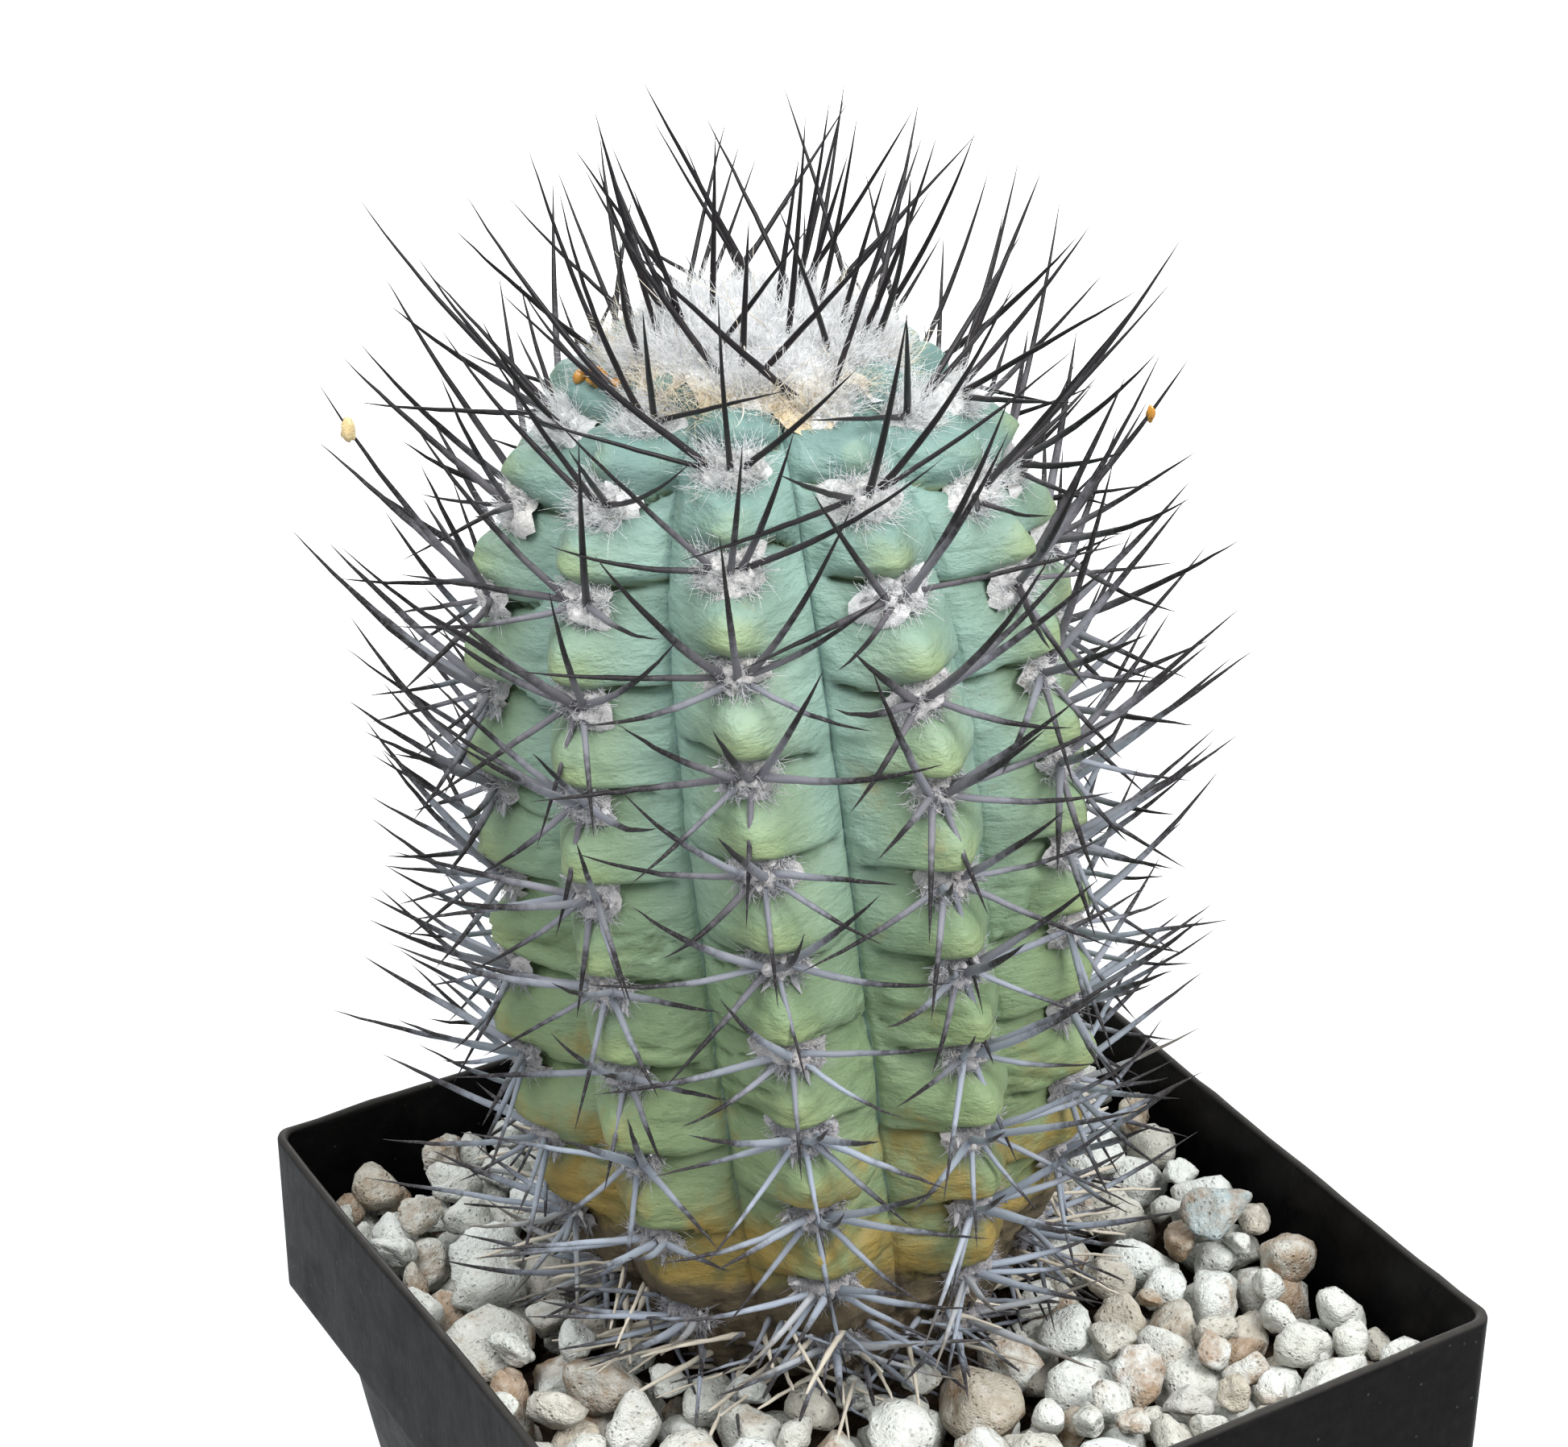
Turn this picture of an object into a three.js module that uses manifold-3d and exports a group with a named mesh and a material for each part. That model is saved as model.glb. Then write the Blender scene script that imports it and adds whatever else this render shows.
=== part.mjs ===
// A potted cactus: a short, ten-ribbed, spiny green column, rooted off centre in
// pumice gravel, in a square thin-walled nursery pot.
//
// Frame: millimetres, +Z up. The origin is the centre of the pot's underside, and X
// and Y run along the pot's sides.

import * as THREE from 'three';
import { mergeVertices } from 'three/addons/utils/BufferGeometryUtils.js';
import Module from 'manifold-3d';

const wasm = await Module();
wasm.setup();

// ---------------------------------------------------------------- driving dimensions

// Gap kept between two pieces that touch.
const CLEARANCE = 0.3;

const POT = {
  rimSide: 100,
  height: 100,
  wall: 1,
  floor: 1.4,
  bandHeight: 21.4,
  bandStep: 4.2,
  footSide: 71,
  cornerRadius: 2,
  cornerSegments: 4,
  drainRadius: 4.5,
  drainInset: 11,
  drainSides: 10,
};

const SOIL = { depthBelowRim: 18 };

const GRAVEL = {
  bedDepthBelowRim: 13,
  grainPitch: 10.2,
  grainRadius: 4.1,
  grainFlatness: 0.78,
  roughness: 0.16,
  smallShare: 0.6,
  looseStones: 40,
  sunkShare: 0.35,
};

const STEM = {
  height: 116,
  gravelDepthBelowRim: 10,
  radius: 32.6,
  offset: new THREE.Vector2(-2.4, 7),
  lean: new THREE.Vector2(-4.7, 2.8),
  waistShare: 0.35,
  baseNarrowing: 0.34,
  domeFullness: 4.4,
  domeEdge: 0.43,
  ribs: 10,
  facingRib: 3,
  facingAzimuth: THREE.MathUtils.degToRad(-122),
  twist: THREE.MathUtils.degToRad(-17.7),
  furrowDepth: 7.6,
  furrowHollow: 0.45,
  baseFurrowShare: 0.3,
  baseFurrowReach: 0.3,
  areolePitch: 10.5,
  areoleSpiral: 0.382,
  notchDepth: 2.3,
  columnsPerRib: 4,
};

const ROOT = { depth: 34, collarShare: 0.96, tipRadius: 4, bluntness: 0.8, rings: 4 };

const AREOLE = {
  padRadius: 2.3,
  padThickness: 1.3,
  strandHalfWidth: 0.6,
  strandThickness: 0.9,
  firstRow: 2,
  lowestHeight: 7,
};

const SPINE = {
  radius: 0.5,
  sunk: 0.45,
  footSpread: 0.95,
  youngLength: 21,
  matureLength: 17,
  baseLength: 14,
  lengthSpread: 0.22,
  turnSpread: 7,
  turnStep: 2.5,
  turns: 24,
  steepest: 75,
  spacing: 1.3,
};

// The spines of one cluster: degrees up from straight out, degrees sideways, and the
// share of the full length.
const SPINE_CLUSTER = [
  { up: 40, side: 0, foot: 0.1, length: 1.15 },
  { up: 20, side: -50, foot: 0.2, length: 1 },
  { up: 20, side: 50, foot: 0.2, length: 1 },
  { up: -26, side: -42, foot: -0.35, length: 0.85 },
  { up: -26, side: 42, foot: -0.35, length: 0.85 },
];

const CROWN = {
  woolHeight: 5.5,
  woolLumps: 0.1,
  seatThickness: 1,
  seatShare: 0.72,
  spineRings: [
    { count: 3, radiusShare: 0.2, lean: 8 },
    { count: 9, radiusShare: 0.75, lean: 24 },
  ],
  spineLength: 25,
};

// ---------------------------------------------------------------- materials

const finish = (color, roughness) => new THREE.MeshStandardMaterial({ color, roughness, metalness: 0 });

const FINISH = {
  pot: finish(0x1d1c1d, 0.42),
  soil: finish(0x33271d, 0.95),
  gravel: finish(0xb7a58a, 0.9),
  stone: finish(0xd8cab2, 0.88),
  skin: finish(0x6f9a78, 0.55),
  spine: finish(0x3a3330, 0.6),
  wool: finish(0xeee6d6, 0.97),
};

// ---------------------------------------------------------------- derived places

const POT_INNER_RIM = POT.rimSide / 2 - POT.wall;
const SOIL_TOP = POT.height - SOIL.depthBelowRim;
const BED_TOP = POT.height - GRAVEL.bedDepthBelowRim;
const STEM_BASE = POT.height - STEM.gravelDepthBelowRim;
const GRAIN_HEIGHT = 2 * GRAVEL.grainRadius * GRAVEL.grainFlatness * (1 + GRAVEL.roughness);
const STONE_TOP = BED_TOP + CLEARANCE + GRAIN_HEIGHT;
const RIB_ANGLE = (2 * Math.PI) / STEM.ribs;

// ---------------------------------------------------------------- small mathematics

const fract = (value) => value - Math.floor(value);

// A repeatable random number from 0 to 1 for each seed.
const chance = (seed) => fract(Math.sin(seed * 12.9898 + 4.1414) * 43758.5453);

// The same, spread evenly from -1 to 1.
const spread = (seed) => 2 * chance(seed) - 1;

const smooth = (value) => THREE.MathUtils.smoothstep(value, 0, 1);

// ---------------------------------------------------------------- meshes and solids

// Closed surface through rings of equally many points, with both ends filled in.
function loft(rings) {
  const count = rings[0].length;
  const points = rings.flat();
  const faces = [];
  for (let ring = 0; ring + 1 < rings.length; ring += 1) {
    for (let i = 0; i < count; i += 1) {
      const next = (i + 1) % count;
      const low = ring * count;
      const high = low + count;
      faces.push(low + i, low + next, high + next);
      faces.push(low + i, high + next, high + i);
    }
  }
  const last = (rings.length - 1) * count;
  fillEnd(points, faces, 0, count, true);
  fillEnd(points, faces, last, count, false);
  return surface(points, faces);
}

// Fan from the middle of one end ring to its points.
function fillEnd(points, faces, first, count, reversed) {
  const middle = new THREE.Vector3();
  for (let i = 0; i < count; i += 1) {
    middle.addScaledVector(points[first + i], 1 / count);
  }
  points.push(middle);
  const hub = points.length - 1;
  for (let i = 0; i < count; i += 1) {
    const here = first + i;
    const next = first + ((i + 1) % count);
    faces.push(hub, reversed ? next : here, reversed ? here : next);
  }
}

// Geometry from points and faces, turned right side out.
function surface(points, faces) {
  let volume = 0;
  for (let i = 0; i < faces.length; i += 3) {
    const [a, b, c] = [points[faces[i]], points[faces[i + 1]], points[faces[i + 2]]];
    volume += a.dot(b.clone().cross(c));
  }
  const geometry = new THREE.BufferGeometry().setFromPoints(points);
  geometry.setIndex(volume > 0 ? faces : faces.reverse());
  return geometry;
}

// Only the corners of a geometry, with shared corners joined.
function corners(geometry) {
  geometry.deleteAttribute('normal');
  geometry.deleteAttribute('uv');
  return mergeVertices(geometry, 1e-5);
}

function toSolid(geometry) {
  const welded = corners(geometry.clone());
  return new wasm.Manifold(new wasm.Mesh({
    numProp: 3,
    vertProperties: new Float32Array(welded.attributes.position.array),
    triVerts: new Uint32Array(welded.index.array),
  }));
}

function toGeometry(solid) {
  const mesh = solid.getMesh();
  const geometry = new THREE.BufferGeometry();
  geometry.setAttribute('position', new THREE.BufferAttribute(mesh.vertProperties, 3));
  geometry.setIndex(new THREE.BufferAttribute(mesh.triVerts, 1));
  return geometry;
}

const join = (pieces) => toGeometry(pieces.map(toSolid).reduce((whole, piece) => whole.add(piece)));

const cut = (whole, tools) => toGeometry(tools.map(toSolid).reduce(
  (left, tool) => left.subtract(tool), toSolid(whole)));

// ---------------------------------------------------------------- pot, soil and gravel

// Ring of points round a square with rounded corners.
function roundedSquare(half, radius, z) {
  const ring = [];
  for (let corner = 0; corner < 4; corner += 1) {
    for (let step = 0; step <= POT.cornerSegments; step += 1) {
      const angle = (Math.PI / 2) * (corner + step / POT.cornerSegments);
      const middle = new THREE.Vector2(half - radius, half - radius)
        .rotateAround(new THREE.Vector2(), (Math.PI / 2) * corner);
      ring.push(new THREE.Vector3(
        middle.x + radius * Math.cos(angle), middle.y + radius * Math.sin(angle), z));
    }
  }
  return ring;
}

// Half the width of the pot's inside at a height, less a clearance.
function potInsideHalf(z, clearance) {
  const stepHeight = POT.height - POT.bandHeight + POT.wall;
  const bodyTop = POT.rimSide / 2 - POT.bandStep - POT.wall;
  if (z > stepHeight) {
    return POT_INNER_RIM - clearance;
  }
  const foot = POT.footSide / 2 - POT.wall;
  return THREE.MathUtils.lerp(foot, bodyTop, z / stepHeight) - clearance;
}

function potInsideRing(z, clearance, half = potInsideHalf(z, clearance)) {
  return roundedSquare(half, POT.cornerRadius - POT.wall, z);
}

function buildPot() {
  const bandFoot = POT.height - POT.bandHeight;
  const bodyHalf = POT.rimSide / 2 - POT.bandStep;
  const stepHeight = bandFoot + POT.wall;
  const shell = loft([
    roundedSquare(POT.footSide / 2, POT.cornerRadius, 0),
    roundedSquare(bodyHalf, POT.cornerRadius, bandFoot),
    roundedSquare(POT.rimSide / 2, POT.cornerRadius, bandFoot),
    roundedSquare(POT.rimSide / 2, POT.cornerRadius, POT.height),
    potInsideRing(POT.height, 0),
    potInsideRing(stepHeight, 0, POT_INNER_RIM),
    potInsideRing(stepHeight, 0, bodyHalf - POT.wall),
    potInsideRing(POT.floor, 0),
  ]);
  const drains = [];
  const reach = POT.footSide / 2 - POT.drainInset;
  for (const x of [-reach, reach]) {
    for (const y of [-reach, reach]) {
      const drill = new THREE.CylinderGeometry(
        POT.drainRadius, POT.drainRadius, POT.floor * 4, POT.drainSides);
      drains.push(drill.rotateX(Math.PI / 2).translate(x, y, 0));
    }
  }
  return cut(shell, drains);
}

function buildSoil() {
  const stepHeight = POT.height - POT.bandHeight + POT.wall;
  const bodyTop = POT.rimSide / 2 - POT.bandStep - POT.wall - CLEARANCE;
  const low = POT.floor + CLEARANCE;
  const block = loft([
    potInsideRing(low, CLEARANCE),
    potInsideRing(stepHeight + CLEARANCE, CLEARANCE, bodyTop),
    potInsideRing(stepHeight + CLEARANCE, CLEARANCE, POT_INNER_RIM - CLEARANCE),
    potInsideRing(SOIL_TOP, CLEARANCE, POT_INNER_RIM - CLEARANCE),
  ]);
  return cut(block, [buildStem(CLEARANCE)]);
}

// One angular pumice grain about the origin.
function grain(radius, seed) {
  const geometry = corners(new THREE.IcosahedronGeometry(radius, 0));
  const position = geometry.attributes.position;
  for (let i = 0; i < position.count; i += 1) {
    const stretch = 1 + GRAVEL.roughness * spread(seed * 17 + i);
    position.setXYZ(i, position.getX(i) * stretch, position.getY(i) * stretch,
      position.getZ(i) * stretch * GRAVEL.grainFlatness);
  }
  return geometry.rotateZ(2 * Math.PI * chance(seed + 0.5));
}

// Places of the grains on the bed: a grid over the pot, clear of its wall and of the
// stem. A stagger of a half puts them in the gaps of the grid.
function grainPlaces(stagger, radius) {
  const largest = GRAVEL.grainRadius * (1 + GRAVEL.roughness);
  const reach = POT_INNER_RIM - CLEARANCE - largest;
  const rows = Math.floor((2 * reach) / GRAVEL.grainPitch);
  const pitch = (2 * reach) / rows;
  const stemReach = sectionReach(STONE_TOP) + radius * (1 + GRAVEL.roughness);
  const places = [];
  for (let row = 0; row + stagger <= rows; row += 1) {
    for (let column = 0; column + stagger <= rows; column += 1) {
      const place = new THREE.Vector2(column + stagger, row + stagger)
        .multiplyScalar(pitch).subScalar(reach);
      if (place.distanceTo(STEM.offset) > stemReach) {
        places.push(place);
      }
    }
  }
  return places;
}

function settledGrain(place, radius, seed) {
  const geometry = grain(radius, seed);
  geometry.computeBoundingBox();
  const rise = BED_TOP + CLEARANCE - geometry.boundingBox.min.z;
  return geometry.translate(place.x, place.y, rise);
}

function buildGravelBed(sunkPlaces) {
  const stepHeight = POT.height - POT.bandHeight + POT.wall;
  const slab = loft([
    potInsideRing(Math.max(SOIL_TOP, stepHeight) + CLEARANCE, CLEARANCE, POT_INNER_RIM - CLEARANCE),
    potInsideRing(BED_TOP, CLEARANCE, POT_INNER_RIM - CLEARANCE),
  ]);
  const cleared = cut(slab, [buildStem(CLEARANCE)]);
  const sunk = sunkPlaces.map(({ place, radius, seed }) => {
    const drop = radius * GRAVEL.sunkShare;
    return settledGrain(place, radius, seed).translate(0, 0, -drop - CLEARANCE);
  });
  return join([cleared, ...sunk]);
}

// ---------------------------------------------------------------- stem

// Radius of the rib crests at a share of the stem's height.
function crestRadius(share) {
  if (share < STEM.waistShare) {
    const below = 1 - share / STEM.waistShare;
    return STEM.radius * (1 - STEM.baseNarrowing * below ** 2);
  }
  const above = (share - STEM.waistShare) / (1 - STEM.waistShare);
  return STEM.radius * (1 - above ** STEM.domeFullness) ** STEM.domeEdge;
}

// Lengths along a rib crest, from the apex down to the gravel.
const CREST_STEPS = 400;
const crestLengths = [0];
const crestShare = (step) => 1 - (step / CREST_STEPS) ** 2;
for (let step = 1; step <= CREST_STEPS; step += 1) {
  const [above, below] = [crestShare(step - 1), crestShare(step)];
  const rise = (above - below) * STEM.height;
  crestLengths.push(crestLengths[step - 1] + Math.hypot(rise, crestRadius(above) - crestRadius(below)));
}
const CREST_LENGTH = crestLengths[CREST_STEPS];

function shareAtLength(length) {
  const step = crestLengths.findIndex((value) => value >= length);
  if (step <= 0) {
    return step === 0 ? 1 : 0;
  }
  const [before, after] = [crestLengths[step - 1], crestLengths[step]];
  return crestShare(step - 1 + (length - before) / (after - before));
}

// Horizontal centre of the stem at a share of its height.
function stemCentre(share) {
  return STEM.offset.clone().addScaledVector(STEM.lean, share);
}

// How far the stem reaches from its foot at a height above the gravel.
function sectionReach(z) {
  const share = Math.max(0, (z - STEM_BASE) / STEM.height);
  return crestRadius(share) + STEM.lean.length() * share + CLEARANCE;
}

// The clusters climb in a spiral: each rib's row is shifted by a part of a pitch.
function ribShift(rib) {
  return fract(STEM.areoleSpiral * (rib - STEM.facingRib) + 0.5) - 0.5;
}

const ROW_END = CREST_LENGTH / STEM.areolePitch;

// Length along the crest of a row, counted in cluster pitches from the apex.
function rowLength(row, shift) {
  const hold = smooth(row / 1.5) * smooth((ROW_END - row) / 2.2);
  return STEM.areolePitch * (row + shift * hold);
}

// Point on the stem. The rib number may be broken: .5 lies in a furrow.
function stemPoint(rib, row, clearance = 0) {
  const across = Math.abs(2 * (rib - Math.round(rib)));
  const lower = Math.floor(rib);
  const shift = THREE.MathUtils.lerp(
    ribShift(lower % STEM.ribs), ribShift((lower + 1) % STEM.ribs), rib - lower);
  const share = shareAtLength(Math.min(rowLength(row, shift), CREST_LENGTH));
  const crest = crestRadius(share);
  const ripeness = smooth(share / STEM.baseFurrowReach);
  const fullness = THREE.MathUtils.lerp(STEM.baseFurrowShare, 1, ripeness);
  const furrow = STEM.furrowDepth * (crest / STEM.radius) * fullness;
  const notch = STEM.notchDepth * fullness * Math.min(1, crest / (0.5 * STEM.radius));
  const notched = notch * (0.5 + 0.5 * Math.cos(2 * Math.PI * row)) * (1 - across) ** 2;
  const slope = THREE.MathUtils.lerp(across, across ** 2, STEM.furrowHollow);
  const radius = crest - furrow * slope - notched + clearance;
  const point = stemPlace(rib, share, radius);
  point.z += clearance * share;
  return point;
}

// Place at a rib's azimuth, a share of the height and a radius from the leaning axis.
function stemPlace(rib, share, radius) {
  const azimuth = STEM.facingAzimuth + RIB_ANGLE * (rib - STEM.facingRib)
    + STEM.twist * (share - 0.5);
  const centre = stemCentre(share);
  return new THREE.Vector3(
    centre.x + radius * Math.cos(azimuth),
    centre.y + radius * Math.sin(azimuth),
    STEM_BASE + share * STEM.height);
}

// The grown body, ribbed above the gravel and with a plain taproot below it.
function buildStem(clearance = 0) {
  const columns = STEM.ribs * STEM.columnsPerRib;
  const ringOf = (place) => Array.from({ length: columns }, (_, i) => place(i / STEM.columnsPerRib));
  const rings = [];
  for (let row = 0.5; row < ROW_END - 0.2; row += 0.5) {
    rings.push(ringOf((rib) => stemPoint(rib, row, clearance)));
  }
  rings.push(ringOf((rib) => stemPoint(rib, ROW_END, clearance)));
  const collarRadius = crestRadius(0) * ROOT.collarShare;
  for (let step = 1; step <= ROOT.rings; step += 1) {
    const depth = step / ROOT.rings;
    const radius = THREE.MathUtils.lerp(collarRadius, ROOT.tipRadius, depth ** ROOT.bluntness) + clearance;
    const drop = ROOT.depth * depth + (step === ROOT.rings ? clearance : 0);
    rings.push(ringOf((rib) => stemPlace(rib, 0, radius).setZ(STEM_BASE - drop)));
  }
  return loft(rings);
}

// ---------------------------------------------------------------- areoles and spines

// Place and directions of the cluster on a rib: out of the stem, up the crest and
// sideways.
function areoleFrame(rib, row) {
  const seat = stemPoint(rib, row);
  const above = stemPoint(rib, row - 0.5);
  const below = stemPoint(rib, row + 0.5);
  const up = above.clone().sub(below).normalize();
  const side = new THREE.Vector3().crossVectors(up, outward(seat)).normalize();
  const out = new THREE.Vector3().crossVectors(side, up).normalize();
  return { seat, above, below, up, side, out };
}

// Away from the stem's leaning axis, level with the ground.
function outward(point) {
  const centre = stemCentre((point.z - STEM_BASE) / STEM.height);
  return new THREE.Vector3(point.x - centre.x, point.y - centre.y, 0).normalize();
}

// Three-cornered section of the felt strand: two feet and a ridge.
function strandSection(point, frame, halfWidth, thickness) {
  const foot = point.clone().addScaledVector(frame.out, CLEARANCE);
  return [
    foot.clone().addScaledVector(frame.side, halfWidth),
    foot.clone().addScaledVector(frame.side, -halfWidth),
    foot.clone().addScaledVector(frame.out, thickness),
  ];
}

// Felt pads in the notches of one rib, strung on the thin felted line of its crest.
function feltStrand(frames) {
  const narrow = [AREOLE.strandHalfWidth, AREOLE.strandThickness];
  const sections = [];
  frames.forEach((frame, index) => {
    const { seat, above, below } = frame;
    const upper = seat.clone().lerp(above, AREOLE.padRadius / seat.distanceTo(above));
    const lower = seat.clone().lerp(below, AREOLE.padRadius / seat.distanceTo(below));
    const middle = upper.clone().lerp(lower, 0.5);
    sections.push(strandSection(upper, frame, ...narrow));
    sections.push(strandSection(middle, frame, AREOLE.padRadius, AREOLE.padThickness));
    sections.push(strandSection(lower, frame, ...narrow));
    if (index + 1 < frames.length) {
      sections.push(strandSection(below, frame, ...narrow));
    }
  });
  return loft(sections);
}

// Three-sided tapering spine, its foot sunk in what carries it.
function spike(base, direction, length, radius = SPINE.radius) {
  const cone = new THREE.ConeGeometry(radius, length + SPINE.sunk, 3);
  cone.translate(0, (length + SPINE.sunk) / 2 - SPINE.sunk, 0);
  const turn = new THREE.Quaternion().setFromUnitVectors(new THREE.Vector3(0, 1, 0), direction);
  return cone.applyQuaternion(turn).translate(base.x, base.y, base.z);
}

// Closest distance between two spines' axes, by sampling along both.
function spineGap(one, other) {
  const steps = 12;
  let nearest = Infinity;
  const line = new THREE.Line3(other.base, other.tip);
  const spot = new THREE.Vector3();
  for (let i = 0; i <= steps; i += 1) {
    const along = one.base.clone().lerp(one.tip, i / steps);
    nearest = Math.min(nearest, line.closestPointToPoint(along, true, spot).distanceTo(along));
  }
  return nearest;
}

// The lowest that a spine's tip may lie: over the stones, or over the rim beyond them.
function tipFloor(tip) {
  const reach = Math.max(Math.abs(tip.x), Math.abs(tip.y));
  const inCorner = Math.min(Math.abs(tip.x), Math.abs(tip.y)) > POT_INNER_RIM * 0.6;
  const overRim = reach > POT_INNER_RIM - 3 || inCorner;
  return (overRim ? POT.height : STONE_TOP) + 2 * SPINE.spacing;
}

function aim(frame, up, side) {
  const upAngle = THREE.MathUtils.degToRad(up);
  const sideAngle = THREE.MathUtils.degToRad(side);
  return new THREE.Vector3()
    .addScaledVector(frame.out, Math.cos(upAngle) * Math.cos(sideAngle))
    .addScaledVector(frame.side, Math.cos(upAngle) * Math.sin(sideAngle))
    .addScaledVector(frame.up, Math.sin(upAngle))
    .normalize();
}

// Where a spine leaves its pad: each kind has a spot of its own, clear of the others.
function spineFoot(frame, kind) {
  const upper = frame.seat.clone().lerp(frame.above, AREOLE.padRadius / frame.seat.distanceTo(frame.above));
  const lower = frame.seat.clone().lerp(frame.below, AREOLE.padRadius / frame.seat.distanceTo(frame.below));
  const across = Math.sign(kind.side) * SPINE.footSpread;
  const height = CLEARANCE + AREOLE.padThickness * (1 - Math.abs(across) / AREOLE.padRadius);
  return lower.lerp(upper, 0.5 + kind.foot / 2)
    .addScaledVector(frame.out, height)
    .addScaledVector(frame.side, across);
}

// One spine that grows clear of the others: it is turned, little by little, until it
// passes every spine grown before it and stays above the gravel and the rim.
function growSpine(frame, kind, fullLength, seed, grown) {
  const length = fullLength * kind.length * (1 + SPINE.lengthSpread * spread(seed));
  const base = spineFoot(frame, kind);
  let best = null;
  for (let turn = 0; turn < SPINE.turns && !best; turn += 1) {
    const up = kind.up + SPINE.turnSpread * spread(seed + 0.3) + SPINE.turnStep * turn;
    const side = kind.side * (1 - 0.03 * turn) + SPINE.turnSpread * spread(seed + 0.6 + turn);
    const direction = aim(frame, Math.min(up, SPINE.steepest), side);
    const tip = base.clone().addScaledVector(direction, length);
    const spine = { base, tip, direction, length, frame };
    const clear = grown.every((other) => other.frame === frame || spineGap(spine, other) > SPINE.spacing);
    if (clear && tip.z > tipFloor(tip)) {
      best = spine;
    }
  }
  if (best) {
    grown.push(best);
  }
  return best;
}

// Full spine length at a height: longest at the crown, shortest at the foot.
function spineLength(frame) {
  const share = (frame.seat.z - STEM_BASE) / STEM.height;
  const upper = THREE.MathUtils.lerp(SPINE.matureLength, SPINE.youngLength, smooth((share - 0.5) * 2));
  return THREE.MathUtils.lerp(SPINE.baseLength, upper, smooth(share * 3));
}

// Rows of clusters on a rib, from below the crown to just above the gravel.
function ribFrames(rib) {
  const frames = [];
  for (let row = AREOLE.firstRow; row < ROW_END - 0.5; row += 1) {
    const frame = areoleFrame(rib, row);
    if (frame.below.z > STEM_BASE + AREOLE.lowestHeight) {
      frames.push(frame);
    }
  }
  return frames;
}

function buildRibSpines(rib, grown) {
  const frames = ribFrames(rib);
  const spikes = [];
  frames.forEach((frame, row) => {
    SPINE_CLUSTER.forEach((kind, index) => {
      const seed = 100 * rib + 7 * row + index;
      const spine = growSpine(frame, kind, spineLength(frame), seed, grown);
      if (spine) {
        spikes.push(spike(spine.base, spine.direction, spine.length));
      }
    });
  });
  return join([feltStrand(frames), ...spikes]);
}

// ---------------------------------------------------------------- crown

// How far the wool reaches from the apex: up to the topmost pads.
function crownReach() {
  const ribs = Array.from({ length: STEM.ribs }, (_, rib) => rib);
  const apex = stemCentre(1);
  return Math.min(...ribs.map((rib) => {
    const frame = areoleFrame(rib, AREOLE.firstRow);
    return Math.hypot(frame.seat.x - apex.x, frame.seat.y - apex.y);
  })) - AREOLE.padRadius - 2 * CLEARANCE;
}

function crownRing(radius, z) {
  const apex = stemCentre(1);
  const sides = 20;
  return Array.from({ length: sides }, (_, i) => {
    const angle = (2 * Math.PI * i) / sides;
    return new THREE.Vector3(apex.x + radius * Math.cos(angle), apex.y + radius * Math.sin(angle), z);
  });
}

// Young spines that stand in the wool, on the thin seat that carries them all.
function buildCrownSpines(clearance, grown) {
  const apex = stemCentre(1);
  const foot = STEM_BASE + STEM.height + CLEARANCE - clearance;
  const top = foot + CROWN.seatThickness + 2 * clearance;
  const seatRadius = crownReach() * CROWN.seatShare + clearance;
  const seat = loft([crownRing(seatRadius, foot), crownRing(seatRadius, top)]);
  const spikes = [];
  CROWN.spineRings.forEach((ring, ringIndex) => {
    for (let i = 0; i < ring.count; i += 1) {
      const seed = 900 + 20 * ringIndex + i;
      const azimuth = (2 * Math.PI * (i + 0.3 * spread(seed))) / ring.count;
      const radius = crownReach() * CROWN.seatShare * ring.radiusShare;
      const lean = THREE.MathUtils.degToRad(ring.lean + SPINE.turnSpread * 0.5 * spread(seed + 0.2));
      const base = new THREE.Vector3(
        apex.x + radius * Math.cos(azimuth),
        apex.y + radius * Math.sin(azimuth),
        foot + CROWN.seatThickness);
      const direction = new THREE.Vector3(
        Math.sin(lean) * Math.cos(azimuth), Math.sin(lean) * Math.sin(azimuth), Math.cos(lean));
      const length = CROWN.spineLength * (1 + SPINE.lengthSpread * 0.5 * spread(seed + 0.4));
      spikes.push(spike(base, direction, length, SPINE.radius + clearance));
      const tip = base.clone().addScaledVector(direction, length);
      grown.push({ base, tip, direction, length, frame: null });
    }
  });
  return join([seat, ...spikes]);
}

function buildCrownWool() {
  const foot = STEM_BASE + STEM.height - 2 * STEM.notchDepth;
  const height = CROWN.woolHeight + 2 * STEM.notchDepth;
  const reach = crownReach() / (1 + CROWN.woolLumps);
  const rings = [0, 0.3, 0.6, 0.85].map((level, index) => {
    const radius = reach * Math.sqrt(1 - level ** 2);
    const ring = crownRing(radius, foot + height * level);
    const apex = stemCentre(1);
    return ring.map((point, i) => {
      const swell = 1 + CROWN.woolLumps * spread(40 * index + i);
      return new THREE.Vector3(
        apex.x + (point.x - apex.x) * swell, apex.y + (point.y - apex.y) * swell, point.z);
    });
  });
  return cut(loft(rings), [buildStem(CLEARANCE), buildCrownSpines(CLEARANCE, [])]);
}

// ---------------------------------------------------------------- the object

const pottedCactus = new THREE.Group();
pottedCactus.name = 'potted_round_cactus';

function place(name, geometry, material) {
  const mesh = new THREE.Mesh(geometry, material);
  mesh.name = name;
  pottedCactus.add(mesh);
}

const numbered = (name, number) => `${name}_${String(number).padStart(2, '0')}`;

place('pot', buildPot(), FINISH.pot);
place('soil', buildSoil(), FINISH.soil);

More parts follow.
